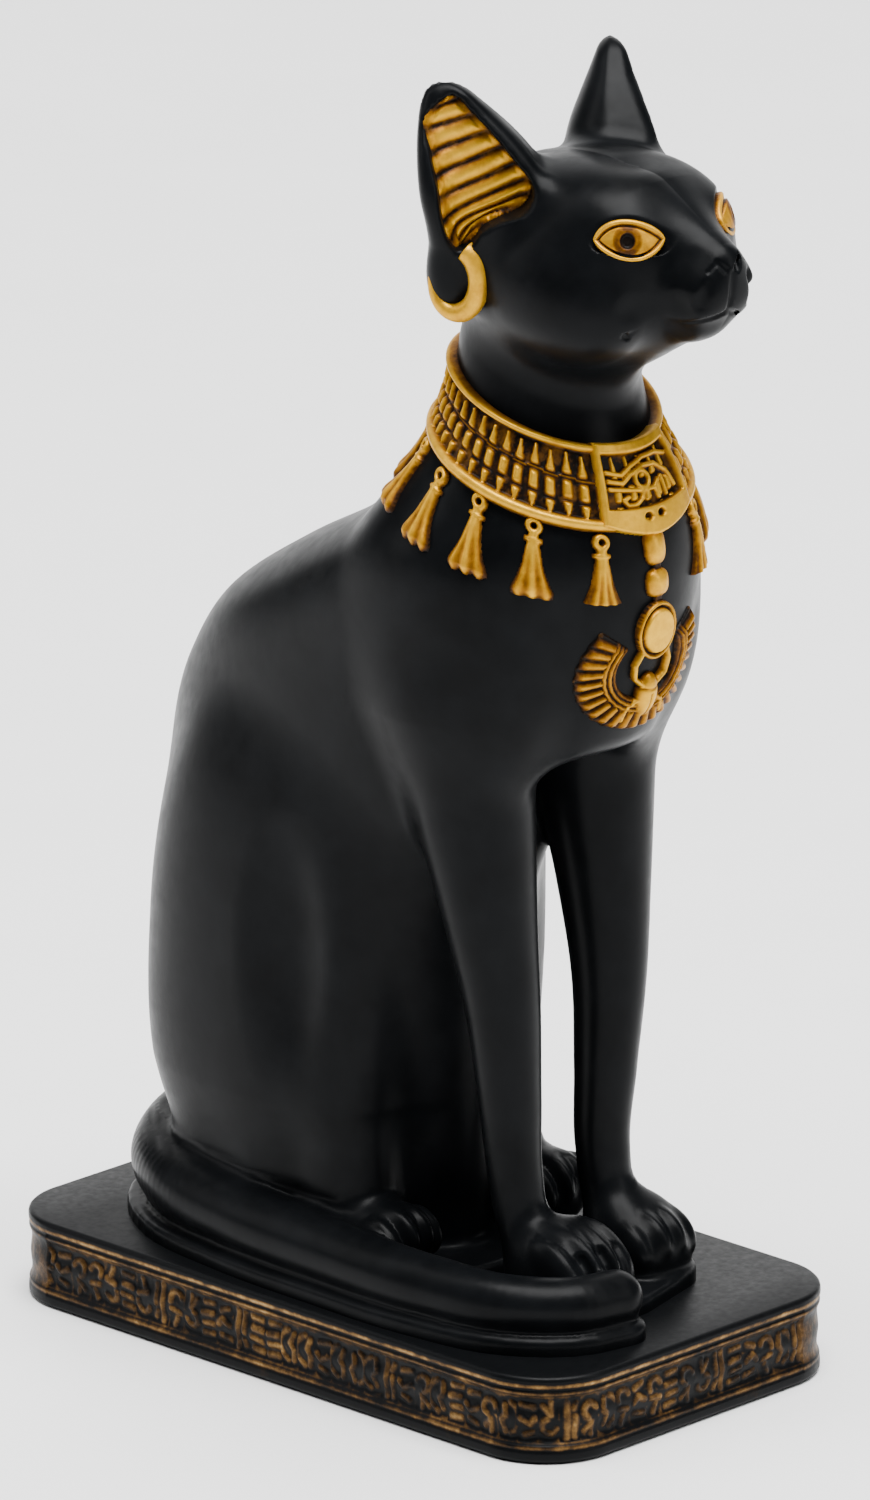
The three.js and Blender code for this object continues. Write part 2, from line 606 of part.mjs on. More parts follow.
function disc() {
  const at = breastPoint(0, DISC_CENTRE);
  const profile = [[0, -2], [1, -2], [1, 1.5], [0.78, 1.5], [0.72, 1], [0, 1.2]];
  const lathe = new THREE.LatheGeometry(profile.map(([r, h]) => new THREE.Vector2(r * DISC_RADIUS, h)), 12);
  const turn = new THREE.Quaternion().setFromUnitVectors(spot(0, 1, 0), facing(at));
  return solidOf(lathe.applyQuaternion(turn).translate(at.x, at.y, at.z));
}

function wings() {
  const profile = [[0.1, -2], [0, 0.9], [0.45, 1.2], [0.5, 0.8], [0.97, 1.1], [0.9, -2]];
  const sections = Array.from({ length: FEATHER_STEPS + 1 }, (_, i) => {
    const angle = (-1 + (2 * i) / FEATHER_STEPS) * WING_SPREAD * DEGREE;
    const feather = i % 2 === 0 ? 0.3 : -0.1;
    return profile.map(([share, height]) => {
      const radius = WING_INNER + share * (WING_OUTER - WING_INNER);
      const at = breastPoint(radius * Math.sin(angle), WING_CENTRE - radius * Math.cos(angle));
      return raised(at, height > 0 ? height + feather : height);
    });
  });
  return solidOf(new LoftGeometry(sections, { capStart: true, capEnd: true }));
}

function pendant() {
  const leg = (side) => [[1.4, 97], [3.1, 99.3], [2.6, 102.4]].map(([x, z]) => breastPoint(side * x, z));
  return [
    bead(breastPoint(0, 117.4), [1.6, 2, 1.3], [8, 4]),
    bead(breastPoint(0, 112.9), [1.6, 2, 1.3], [8, 4]),
    bead(breastPoint(0, 95.8), [2, 3.4, 1.9], [8, 5]),
    rope(leg(-1), () => 0.55, () => 1.1, 4),
    rope(leg(1), () => 0.55, () => 1.1, 4),
    disc(),
    wings(),
  ];
}

// Ribs in the hollow of an ear, and the ring round its lobe
const RIB_COUNT = 7;
const RIB_TOP = 182; // height of the top rib's outer end
const RIB_PITCH = 3.1;
const RIB_SLOPE = 0.53;
const RIB_BOW = 1.1;
const RING_FROM_LOBE = [0.5, 2.6, -0.1]; // the ring's middle from the lobe's: across, out and height
const EAR_RING = { tilt: 0.45, halfAcross: 3.3, halfUp: 4.9, thick: 1.5, start: 62, end: -175 };
const earPoint = (side, across, out, z) =>
  spot(side * ((out - across) / (2 * EAR_COS)), -(out + across) / (2 * EAR_SIN), z);

function earSkin(side, across, z) {
  return skinAlong(earPoint(side, across, 60, z), earPoint(side, 0, -1, 0).normalize());
}

function earRibs(side) {
  return Array.from({ length: RIB_COUNT }, (_, i) => {
    const low = RIB_TOP - i * RIB_PITCH;
    const from = hollowOuterEdge(low) + 0.2;
    let to = from;
    while (to < hollowInnerEdge(low + RIB_SLOPE * (to - from)) - 0.2) to += 0.2;
    const points = Array.from({ length: 5 }, (_unused, n) => {
      const t = n / 4;
      const across = from + t * (to - from);
      return earSkin(side, across, low + RIB_SLOPE * (across - from) + 4 * RIB_BOW * t * (1 - t));
    });
    return rope(points, () => 0.9, () => 0.8, 5);
  });
}

function earRing(side) {
  const [midAcross, midOut, midHeight] = LOBE.map((at, n) => at + RING_FROM_LOBE[n]);
  const points = Array.from({ length: 13 }, (_, i) => {
    const angle = (EAR_RING.start + ((EAR_RING.end - EAR_RING.start) * i) / 12) * DEGREE;
    const across = EAR_RING.halfAcross * Math.cos(angle);
    const out = midOut + EAR_RING.tilt * across;
    return earPoint(side, midAcross + across, out, midHeight + EAR_RING.halfUp * Math.sin(angle));
  });
  const level = earPoint(side, 0, 1, 0).normalize();
  return rope(points, () => EAR_RING.thick, () => EAR_RING.thick, 6, { level });
}

// An eye: an almond rim and a pupil
const EYE = { side: 9.9, y: -50.6, z: 167.2, turn: 44, halfLong: 5.1, halfHigh: 2.8 };

function eye(side) {
  const out = spot(side * Math.sin(EYE.turn * DEGREE), -Math.cos(EYE.turn * DEGREE), 0);
  const along = spot(side * Math.cos(EYE.turn * DEGREE), Math.sin(EYE.turn * DEGREE), 0);
  const onFace = (u, v) => {
    const start = spot(side * EYE.side, EYE.y, EYE.z).addScaledVector(along, u).addScaledVector(out, 20);
    return skinAlong(start.add(spot(0, 0, v)), out.clone().negate());
  };
  const count = 12;
  const rim = Array.from({ length: count + 1 }, (_, i) => {
    const angle = (2 * Math.PI * i) / count;
    const high = Math.sin(angle);
    return onFace(EYE.halfLong * Math.cos(angle), EYE.halfHigh * high * Math.sqrt(Math.abs(high)));
  });
  return [rope(rim, () => 0.7, () => 0.7, 4, { loop: true }), bead(onFace(0, 0), [1.3, 1.3, 0.9], [8, 4])];
}

// Toes: four on each paw, the outer ones further back and lower
function toes([x, y, z], pitch, radii, tilt) {
  return [-1.5, -0.5, 0.5, 1.5].map((side) => {
    const toe = new THREE.SphereGeometry(1, 6, 5).scale(...radii).rotateX(tilt * DEGREE);
    return solidOf(toe.translate(x + pitch * side, y + Math.abs(side), z - 0.8 * Math.abs(side)));
  });
}

function allToes() {
  const hind = (side) => toes([side * 16.6, -13.7, 9.8], 2.9, [1.7, 4, 3.2], 40);
  const left = toes([10.6, -38.6, 8.7], 3.3, [1.9, 4.4, 3.2], 32);
  const right = toes([-6.9, -41, 9.8], 3.9, [2.2, 4.6, 3.2], 32);
  return [...left, ...right, ...hind(-1), ...hind(1)];
}

async function catGeometry() {
  const reach = GRID_STEP * 2;
  const low = [-31.5 - reach, -64 - reach, -reach];
  const high = [26 + reach, 51 + reach, EAR_TIP + reach];
  const fine = skinOf((x, y, z) => Math.max(figure(x, y, z), -z - 0.5 * reach), low, high, GRID_STEP);
  const solids = [solidOf(fine), sole(), ...allToes(), collar(), plaque(), ...plaqueEye(), ...pendant()];
  solids.push(counterpoise());
  for (const side of [-1, 1]) {
    solids.push(...TASSEL_ANGLES.flatMap((angle) => tassel(side * angle)));
    solids.push(...earRibs(side), earRing(side), ...eye(side));
  }
  const whole = geometryOf(joined(solids));
  const spare = whole.getAttribute('position').count - CAT_TRIANGLES / 2;
  const plain = solidOf(await new SimplifyModifier().modify(whole, spare));
  const below = solidOf(new THREE.BoxGeometry(EAR_TIP, EAR_TIP, EAR_TIP).translate(0, 0, -EAR_TIP / 2));
  return geometryOf(plain.subtract(below)).scale(GROWTH, GROWTH, GROWTH);
}

// The plinth
const soleReach = TAIL_PATH.reduce(
  (reach, [x, y, , radius]) => ({
    side: Math.max(reach.side, radius + SOLE_MARGIN - x),
    front: Math.max(reach.front, radius + SOLE_MARGIN - y),
  }),
  { side: 0, front: 0 },
);
const PLINTH_WIDTH = 2 * (soleReach.side * GROWTH + SIDE_MARGIN);
const PLINTH_LENGTH = 2 * (soleReach.front * GROWTH + END_MARGIN);

function plinthOutline(inset, height) {
  const radius = PLINTH_CORNER - inset;
  const [halfX, halfY] = [PLINTH_WIDTH / 2 - PLINTH_CORNER, PLINTH_LENGTH / 2 - PLINTH_CORNER];
  const steps = 6;
  const points = [];
  for (const [quarter, [sx, sy]] of [[1, 1], [-1, 1], [-1, -1], [1, -1]].entries()) {
    for (let i = 0; i <= steps; i += 1) {
      const angle = (quarter + i / steps) * 90 * DEGREE;
      points.push(spot(sx * halfX + radius * Math.cos(angle), sy * halfY + radius * Math.sin(angle), height));
    }
  }
  return points;
}

// The frieze: cells along each side that hold one or two marks, which are raised strokes and no letters
const MARKS = [
  [[-0.6, 0, 0.9, 0], [0.7, 0, 0.5, 0]],
  [[0, 0.2, 0.6, 38], [0, -0.36, 0.24, 90]],
  [[-0.7, 0.1, 0.7, 0], [0.6, -0.1, 0.6, -32]],
  [[0, 0.3, 0.3, 90], [0, -0.15, 0.6, 0]],
  [[0.1, 0, 0.85, -24]],
];

function friezeStrokes() {
  const middle = PLINTH_HEIGHT / 2;
  const tall = PLINTH_HEIGHT - 2 * BORDER_HEIGHT - 1.6;
  const solids = [];
  const addRow = (length, offset, yaw, first) => {
    const count = Math.floor((length - 2 * PLINTH_CORNER) / MARK_PITCH);
    for (let i = 0; i < count; i += 1) {
      for (const [along, up, size, lean] of MARKS[(first + 3 * i) % MARKS.length]) {
        const bar = new THREE.BoxGeometry(STROKE_WIDTH, 2 * FRIEZE_DEPTH, size * tall).rotateY(lean * DEGREE);
        const place = (i - (count - 1) / 2) * MARK_PITCH + 1.4 * along;
        bar.translate(place, FRIEZE_DEPTH - offset, middle + up * tall);
        solids.push(solidOf(bar.rotateZ(yaw * DEGREE)));
      }
    }
  };
  addRow(PLINTH_WIDTH, PLINTH_LENGTH / 2 - STROKE_BEHIND, 0, 0);
  addRow(PLINTH_LENGTH, PLINTH_WIDTH / 2 - STROKE_BEHIND, 90, 1);
  addRow(PLINTH_WIDTH, PLINTH_LENGTH / 2 - STROKE_BEHIND, 180, 2);
  addRow(PLINTH_LENGTH, PLINTH_WIDTH / 2 - STROKE_BEHIND, 270, 3);
  return solids;
}

function plinthGeometry() {
  const slope = 0.25;
  const stations = [
    [EDGE_ROUND, 0], [0, EDGE_ROUND], [0, BORDER_HEIGHT - slope], [FRIEZE_DEPTH, BORDER_HEIGHT + slope],
    [FRIEZE_DEPTH, PLINTH_HEIGHT - BORDER_HEIGHT - slope], [0, PLINTH_HEIGHT - BORDER_HEIGHT + slope],
    [0, PLINTH_HEIGHT - EDGE_ROUND], [EDGE_ROUND, PLINTH_HEIGHT],
  ];
  const rings = stations.map((at) => plinthOutline(...at));
  const block = new LoftGeometry(rings, { capStart: true, capEnd: true });
  return geometryOf(joined([solidOf(block), ...friezeStrokes()]));
}

const satinBlack = new THREE.MeshStandardMaterial({ color: 0x14161a, roughness: 0.38, metalness: 0 });
const bronzedBlack = new THREE.MeshStandardMaterial({ color: 0x2a2119, roughness: 0.55, metalness: 0.2 });

const cat = new THREE.Mesh(await catGeometry(), satinBlack);
cat.name = 'cat';
cat.position.set(0, 0, PLINTH_HEIGHT);

const plinth = new THREE.Mesh(plinthGeometry(), bronzedBlack);
plinth.name = 'plinth';

const figureOnPlinth = new THREE.Group();
figureOnPlinth.add(cat, plinth);

export default figureOnPlinth;
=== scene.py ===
import math

import bpy
import numpy as np
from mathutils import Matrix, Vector


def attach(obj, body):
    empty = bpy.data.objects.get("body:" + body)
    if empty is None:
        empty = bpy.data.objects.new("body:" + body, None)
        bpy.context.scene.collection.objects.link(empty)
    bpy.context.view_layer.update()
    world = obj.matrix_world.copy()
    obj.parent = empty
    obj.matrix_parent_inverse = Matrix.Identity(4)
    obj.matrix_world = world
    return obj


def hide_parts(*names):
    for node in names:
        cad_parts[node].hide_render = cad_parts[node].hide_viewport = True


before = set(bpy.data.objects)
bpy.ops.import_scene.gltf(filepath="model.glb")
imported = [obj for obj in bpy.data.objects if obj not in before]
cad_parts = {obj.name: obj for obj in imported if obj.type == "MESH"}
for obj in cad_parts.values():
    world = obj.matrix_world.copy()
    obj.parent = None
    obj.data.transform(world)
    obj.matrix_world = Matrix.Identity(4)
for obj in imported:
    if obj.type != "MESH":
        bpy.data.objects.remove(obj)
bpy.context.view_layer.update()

# Lengths are in millimetres, with z measured from the plinth's top, until a mesh is made.
MM = 0.001
PLINTH_HEIGHT = 13.5
SOLE_HEIGHT = 2.5
SOLE_MARGIN = 0.5
PLINTH_SIZE = (65.6, 115.0)
PLINTH_CORNER = 12.3
PLINTH_EDGE = 0.7

# How softly each form joins the others, or how round the edge of a cut is
BLEND = {
    "neck_end": 6, "torso_foot": 1, "underside": 4, "haunch_foot": 5, "thigh_edge": 1.4, "shin": 7,
    "flank_hollow": 6, "foreleg": 8, "arm": 3.2, "forepaw": 4, "brow": 7, "jaw": 4, "cheek": 7, "muzzle": 6,
    "nose_bridge": 5, "muzzle_pad": 3, "chin": 2.5, "head": 5, "ear": 3, "ear_tip": 2, "ear_foot": 3,
    "ear_rim": 3, "lobe": 2, "ear_hollow": 0.8, "hollow_end": 1, "hind_foot": 1.6, "tail": 2.2, "sole": 2,
    "sole_edge": 1.2, "paw_foot": 10, "tail_foot": 4, "toes": 0.7, "clefts": 1.2, "eye_socket": 0.6,
}


# Joins and forms as distances: negative inside, positive outside

def smooth_min(a, b, blend):
    near = np.maximum(blend - np.abs(a - b), 0.0) / blend
    return np.minimum(a, b) - near * near * blend / 4


def smooth_max(a, b, blend):
    return -smooth_min(-a, -b, blend)


def between(t, a, b, slope_a, slope_b):
    """A smooth way from a to b, as t runs from 0 to 1."""
    t2, t3 = t * t, t * t * t
    start = (2 * t3 - 3 * t2 + 1) * a + (t3 - 2 * t2 + t) * slope_a
    return start + (3 * t2 - 2 * t3) * b + (t3 - t2) * slope_b


def curve(*knots):
    """A smooth function through (place, value) knots, flat beyond its ends."""
    place, value = (np.array(column, float) for column in zip(*knots))
    slope = np.gradient(value, place)

    def at(where):
        i = np.clip(np.searchsorted(place, where) - 1, 0, len(place) - 2)
        span = place[i + 1] - place[i]
        t = np.clip((where - place[i]) / span, 0, 1)
        return between(t, value[i], value[i + 1], span * slope[i], span * slope[i + 1])

    return at


def limb_path(count, *knots):
    """A smooth path through (x, y, z, radius) knots, as count short round cones."""
    points = np.array(knots, float)
    along = np.r_[0, np.cumsum(np.linalg.norm(np.diff(points[:, :3], axis=0), axis=1))]
    places = np.linspace(0, along[-1], count + 1)
    return np.stack([curve(*zip(along, points[:, k]))(places) for k in range(4)], 1)


def limb(path):
    """Round cones along (x, y, z, radius) places."""
    path = np.asarray(path, float)

    def at(p):
        nearest = np.full(len(p), 1e9)
        for a, b in zip(path[:-1], path[1:]):
            run = b[:3] - a[:3]
            gone = p - a[:3]
            t = np.clip(gone @ run / (run @ run), 0, 1)
            reach = np.linalg.norm(gone - t[:, None] * run, axis=1)
            nearest = np.minimum(nearest, reach - a[3] - t * (b[3] - a[3]))
        return nearest

    return at


def upright_limb(*knots):
    """A limb that runs down through (x, y, z, radius) knots, round at each height."""
    points = np.array(knots[::-1], float)
    x, y, radius = (curve(*zip(points[:, 2], points[:, k])) for k in (0, 1, 3))
    foot, top = points[0, 2], points[-1, 2]

    def at(p):
        z = np.clip(p[:, 2], foot, top)
        return np.linalg.norm(p - np.stack([x(z), y(z), z], 1), axis=1) - radius(z)

    return at


def ellipsoid(centre, radii, yaw=0.0, pitch=0.0, power=2.0):
    """An ellipsoid, squarer where its power is over 2."""
    c, s = math.cos(math.radians(yaw)), math.sin(math.radians(yaw))
    about_z = np.array([[c, -s, 0], [s, c, 0], [0, 0, 1]])
    c, s = math.cos(math.radians(pitch)), math.sin(math.radians(pitch))
    about_x = np.array([[1, 0, 0], [0, c, -s], [0, s, c]])
    axes = about_z @ about_x
    centre, radii = np.array(centre, float), np.array(radii, float)

    def at(p):
        share = np.abs((p - centre) @ axes) / radii
        size = ((share ** power).sum(1) + 1e-12) ** (1 / power)
        steep = size[:, None] ** (1 - power) * share ** (power - 1) / radii
        return (size - 1) / (np.linalg.norm(steep, axis=1) + 1e-6)

    return at


CORE = 0.3  # the share of a column's size inside which its distance is taken as even


def ellipse_distance(u, v, half_u, half_v, power=2):
    """A column of elliptic section, squarer where its power is over 2."""
    share_u, share_v = np.abs(u / half_u), np.abs(v / half_v)
    size = (share_u ** power + share_v ** power + 1e-12) ** (1 / power)
    slopes = np.hypot(share_u ** (power - 1) / half_u, share_v ** (power - 1) / half_v)
    steep = slopes * size ** (1 - power) + 1e-9
    return np.where(size < CORE, -0.5 * np.minimum(half_u, half_v), (size - 1) / steep)


# The torso and neck: the back's and chest's outline, the half width and where it is widest, by height
BACK = curve((-4, 34), (4, 38), (14, 41), (26, 43.5), (42, 45.8), (57, 47.2), (71, 46.8), (86, 42.6),
             (98, 33.6), (108, 18.5), (117, 2.5), (126, -6), (136, -10.5), (148, -13), (160, -13))
CHEST = curve((-4, -10), (4, -11), (14, -12), (26, -13), (42, -15), (57, -17.5), (68, -23), (76, -31),
              (83, -38), (90, -42.5), (98, -45.3), (106, -46.9), (117, -46.8), (126, -44.5),
              (136, -39.7), (148, -38.6), (160, -39))
HALF_WIDTH = curve((-4, 13), (14, 15), (42, 17), (57, 19.5), (71, 22), (86, 23.6), (98, 24.4), (108, 25),
                   (117, 24.4), (126, 20), (136, 14.8), (148, 12.9), (160, 12.6))
WIDEST = curve((-4, 16), (14, 16), (42, 15), (57, 12), (71, 5), (86, -5), (98, -13), (108, -19), (117, -22),
               (126, -24), (136, -25.5), (148, -26), (160, -27))
TORSO_TOP, TORSO_FOOT = 152, -2
LEAST_DEPTH = 3
TORSO_PACE, EAR_PACE = 0.85, 0.8  # they keep a bent column's distance from running past the true one
underside = ellipsoid((0, -36.5, 60), (15, 21, 25), power=3)  # the space below the chest


def torso(p):
    x, y, z = p.T
    widest = WIDEST(z)
    depth = np.maximum(np.where(y > widest, BACK(z) - widest, widest - CHEST(z)), LEAST_DEPTH)
    wall = ellipse_distance(x, y - widest, HALF_WIDTH(z), depth)
    form = smooth_max(wall, z - TORSO_TOP, BLEND["neck_end"])
    form = smooth_max(form, TORSO_FOOT - z, BLEND["torso_foot"])
    return smooth_max(TORSO_PACE * form, -underside(p), BLEND["underside"])


# Paired forms are drawn on the +X side and mirrored, apart from the forepaws, which stand unevenly.
thigh_form = ellipsoid((12, 17, 43), (14, 22.8, 37), pitch=7, yaw=4, power=2.4)
haunch_foot = limb([(13.5, 27, 14.5, 6), (15.4, 13, 13.6, 6.2), (15.2, 3.5, 13.6, 5.8)])
flank_hollow = ellipsoid((27.4, 2.6, 50), (5, 5, 16))
shin = limb(limb_path(8, (16.6, 3.4, 62, 4), (17.2, 1.6, 46, 4.6), (16.2, -0.4, 28, 4.4),
                      (15.8, -3, 12, 4.6)))
hind_foot = limb(limb_path(8, (16, 26, 6, 4.6), (17, 8, 6.2, 5), (17, -4, 7.4, 5.8), (16.6, -10.2, 7.2, 6)))
shoulder = ellipsoid((13.5, -21.6, 104.5), (11.2, 17.7, 22.3), pitch=-16, power=2.1)
foreleg = upright_limb((13.6, -21, 92, 10.4), (12.7, -23, 76, 9), (12.1, -25.6, 60, 7),
                       (11.3, -27.5, 46, 5.6), (10.2, -27.9, 32, 4.7), (9.3, -28.2, 20, 4.1),
                       (9.2, -30, 12, 4), (9.3, -33, 7, 4.2))
# The height of the thigh's lower edge, by y, and how softly it joins the torso, by height
THIGH_FOOT = curve((-14, 20), (-7, 15.4), (1, 9.6), (8, 7.8), (24, 9.0), (33, 10.8), (40, 11.6))
THIGH_BLEND = curve((12, 3), (26, 10))
PAW_PITCH, PAW_POWER = 32, 2.6
PAW_RIGHT, PAW_RIGHT_RADII = (-6.4, -37, 5.7), (8, 8.4, 7.8)
forepaw_left = ellipsoid((10.6, -33.8, 5.2), (7.4, 7.6, 7.4), pitch=PAW_PITCH, power=PAW_POWER)
forepaw_right = ellipsoid(PAW_RIGHT, PAW_RIGHT_RADII, pitch=PAW_PITCH, power=PAW_POWER)
# The feet and tail lie wholly below the one height, and the head above the other.
FEET_BELOW, HEAD_ABOVE = 34, 112


def thigh(m):
    form = smooth_min(thigh_form(m), haunch_foot(m), BLEND["haunch_foot"])
    return smooth_max(form, THIGH_FOOT(m[:, 1]) - m[:, 2], BLEND["thigh_edge"])


def body(p, m):
    form = smooth_min(torso(p), thigh(m), THIGH_BLEND(p[:, 2]))
    form = smooth_min(form, shin(m), BLEND["shin"])
    form = smooth_max(form, -flank_hollow(m), BLEND["flank_hollow"])
    form = smooth_min(form, smooth_min(shoulder(m), foreleg(m), BLEND["foreleg"]), BLEND["arm"])
    low = np.flatnonzero(p[:, 2] < FEET_BELOW)
    if len(low):
        paws = np.minimum(forepaw_left(p[low]), forepaw_right(p[low]))
        form[low] = smooth_min(form[low], paws, BLEND["forepaw"])
    return form


# The head: skull, brows, cheeks and jaw, muzzle with its two pads, chin and the bridge of the nose
skull = ellipsoid((0, -31.5, 160), (17, 19, 14.4), pitch=4)
brow = ellipsoid((5.2, -41.2, 165.5), (8.7, 12.8, 8.9), yaw=8)
cheek = ellipsoid((8, -38.5, 155.5), (9, 13.5, 8.8), yaw=12)
jaw = limb([(0, -53, 155, 3.4), (0, -36, 149.5, 7.5)])
muzzle = limb([(0, -46, 160.2, 8.8), (0, -57.1, 159.6, 5)])
muzzle_pad = ellipsoid((3, -57.5, 159.3), (3.6, 4.3, 3.8))
chin = ellipsoid((0, -54.8, 154.9), (3.6, 4.2, 3))
nose_bridge = limb([(0, -46.5, 168.4, 4.7), (0, -59.4, 163.8, 2.6)])


def head(p, m):
    form = smooth_min(skull(p), brow(m), BLEND["brow"])
    form = smooth_min(form, smooth_min(cheek(m), jaw(p), BLEND["jaw"]), BLEND["cheek"])
    form = smooth_min(form, muzzle(p), BLEND["muzzle"])
    form = smooth_min(form, nose_bridge(p), BLEND["nose_bridge"])
    form = smooth_min(form, muzzle_pad(m), BLEND["muzzle_pad"])
    return smooth_min(form, chin(p), BLEND["chin"])


# An ear: an upright cup, rounded behind and open sideways and forward, with bowed side edges.
# "across" runs from its outer back edge to its inner front edge, and "out" the way that it opens.
EAR_TURN = math.radians(45.85)
EAR_COS, EAR_SIN = math.cos(EAR_TURN), math.sin(EAR_TURN)
EAR_FOOT, EAR_TIP = 154, 186.8
EAR_OUTER = curve((150, 2), (158, 1.2), (163, 1), (166, 0.6), (170.4, -0.3), (175, -0.7), (180, -0.6),
                  (184, 0), (186.5, 1.2), (188, 2.6))
EAR_INNER = curve((150, 20), (158, 20), (168, 19.5), (174, 17.6), (179, 13.8), (184, 8.4), (186.6, 5.2),
                  (188, 3))
EAR_MIDDLE = curve((150, 27.5), (162, 27.8), (175, 27.4), (188, 27.4))
EAR_DEPTH = curve((150, 2.5), (157, 3), (162, 5), (167, 6.7), (171, 7), (175, 6.1), (179, 4.5), (182.5, 3),
                  (185.5, 1.8), (187.5, 1))
HOLLOW_FOOT, HOLLOW_TIP = 162.6, 185
HOLLOW_OUTER = curve((162.7, 4.7), (164.3, 3.8), (167.4, 2.9), (172.3, 2.2), (176.6, 1.3), (182.8, 1.4),
                     (184.8, 3.6))
HOLLOW_INNER = curve((162.7, 6.3), (164.3, 7.7), (165.8, 8.7), (167.4, 11.3), (168.6, 14), (170.4, 15.6),
                     (172.3, 15.9), (176.6, 12.8), (179.7, 10.1), (183.7, 6.1), (185, 4.9))
HOLLOW_DEPTH, HOLLOW_POWER = 0.8, 4
RIM_LEAN = 0.7  # how much further out the rim stands at its inner side
LEAST_HALF = 0.2
lobe = ellipsoid((4.4, 28.6, 158.2), (3.2, 3.6, 5.4))


def ear_place(m):
    """Across, out and height of points on the +X side."""
    return -EAR_COS * m[:, 0] - EAR_SIN * m[:, 1], EAR_COS * m[:, 0] - EAR_SIN * m[:, 1], m[:, 2]


def ear(m):
    across, out, z = ear_place(m)
    low, high = EAR_OUTER(z), EAR_INNER(z)
    half_across = np.maximum((high - low) / 2, LEAST_HALF)
    half_depth = np.maximum(EAR_DEPTH(z), LEAST_HALF)
    u = across - (low + high) / 2
    v = out - EAR_MIDDLE(z)
    rounding = np.minimum(BLEND["ear_rim"], np.minimum(half_across, half_depth))
    rim = v - half_depth - RIM_LEAN * np.clip(u / half_across, -1, 1)
    front = smooth_max(np.abs(u) - half_across, rim, rounding)
    wall = np.where(v < 0, ellipse_distance(u, v, half_across, half_depth), front)
    cup = smooth_max(EAR_PACE * wall, z - EAR_TIP, BLEND["ear_tip"])
    cup = smooth_max(cup, EAR_FOOT - z, BLEND["ear_foot"])
    return smooth_min(cup, lobe(np.stack([across, out, z], 1)), BLEND["lobe"])


def ear_hollow(m):
    across, out, z = ear_place(m)
    low, high = HOLLOW_OUTER(z), HOLLOW_INNER(z)
    half_across = np.maximum((high - low) / 2, LEAST_HALF / 2)
    depth = np.maximum(HOLLOW_DEPTH * EAR_DEPTH(z), LEAST_HALF)
    u = across - (low + high) / 2
    v = out - EAR_MIDDLE(z) - EAR_DEPTH(z)
    bowl = ellipse_distance(u, v, half_across, depth, HOLLOW_POWER)
    wall = EAR_PACE * np.where(v < 0, bowl, np.abs(u) - half_across)
    return smooth_max(wall, np.maximum(HOLLOW_FOOT - z, z - HOLLOW_TIP), BLEND["hollow_end"])


# The tail runs from the rump round the cat's right side and ends before its right forepaw.
TAIL_PATH = limb_path(88, (7, 42, 9.5, 8), (-4, 42.2, 9.2, 7.6), (-13.2, 38.4, 8.6, 6.8),
                      (-20.3, 29.5, 7.9, 6), (-24.1, 14, 7.2, 5.2), (-25.4, -6, 6.8, 4.8),
                      (-25.4, -26, 6.5, 4.5), (-22.6, -40, 6.3, 4.3), (-16.5, -46.8, 6.2, 4.2),
                      (-9.5, -48.6, 6.1, 4.1))
tail = limb(TAIL_PATH)
tail_bed = limb([(3, 38, 3, 3), (-8, 35.5, 3.5, 3.8), (-13, 29.5, 4.5, 4.4), (-17, 22, 4, 3.4)])

# The sole's outline is that of the tail, the rump with its hind feet, and the forepaws, run together.
tail_foot = limb([(x, y, 0, radius + SOLE_MARGIN) for x, y, _, radius in TAIL_PATH[::2]])
rump_foot = ellipsoid((0.5, 14, 0), (24.2, 33, 40), power=2.6)
paw_foot = limb([(-12, -36, 0, 8), (0, -37.2, 0, 8), (12, -34.6, 0, 7.4)])


def sole(p):
    flat = p * (1, 1, 0)
    outline = smooth_min(rump_foot(flat), paw_foot(flat), BLEND["paw_foot"])
    outline = smooth_min(outline, tail_foot(flat), BLEND["tail_foot"])
    return smooth_max(outline, p[:, 2] - SOLE_HEIGHT, BLEND["sole_edge"])


def mirrored(p):
    m = np.array(p, float)
    m[:, 0] = np.abs(m[:, 0])
    return m


def figure(p):
    """The distance of points to the cat's skin, without its jewellery."""
    p = np.asarray(p, float)
    m = mirrored(p)
    form = body(p, m)
    up = np.flatnonzero(p[:, 2] > HEAD_ABOVE)
    if len(up):
        q, n = p[up], m[up]
        upper = smooth_min(form[up], head(q, n), BLEND["head"])
        upper = smooth_min(upper, ear(n), BLEND["ear"])
        form[up] = smooth_max(upper, -ear_hollow(n), BLEND["ear_hollow"])
    low = np.flatnonzero(p[:, 2] < FEET_BELOW)
    if len(low):
        q = p[low]
        lower = smooth_min(form[low], hind_foot(m[low]), BLEND["hind_foot"])
        lower = smooth_min(lower, np.minimum(tail(q), tail_bed(q)), BLEND["tail"])
        form[low] = smooth_min(lower, sole(q), BLEND["sole"])
    return form


# The skin of a form inside a box, as quads: one point in each grid cell that the skin passes through
BLOCK = 4  # cells along the side of a block
NEAR_STEPS = 5  # a block whose middle lies further from the skin, in steps, holds none of it
FAR = 9  # stands for any distance well away from the skin
AT_ONCE = 200000  # points worked out together


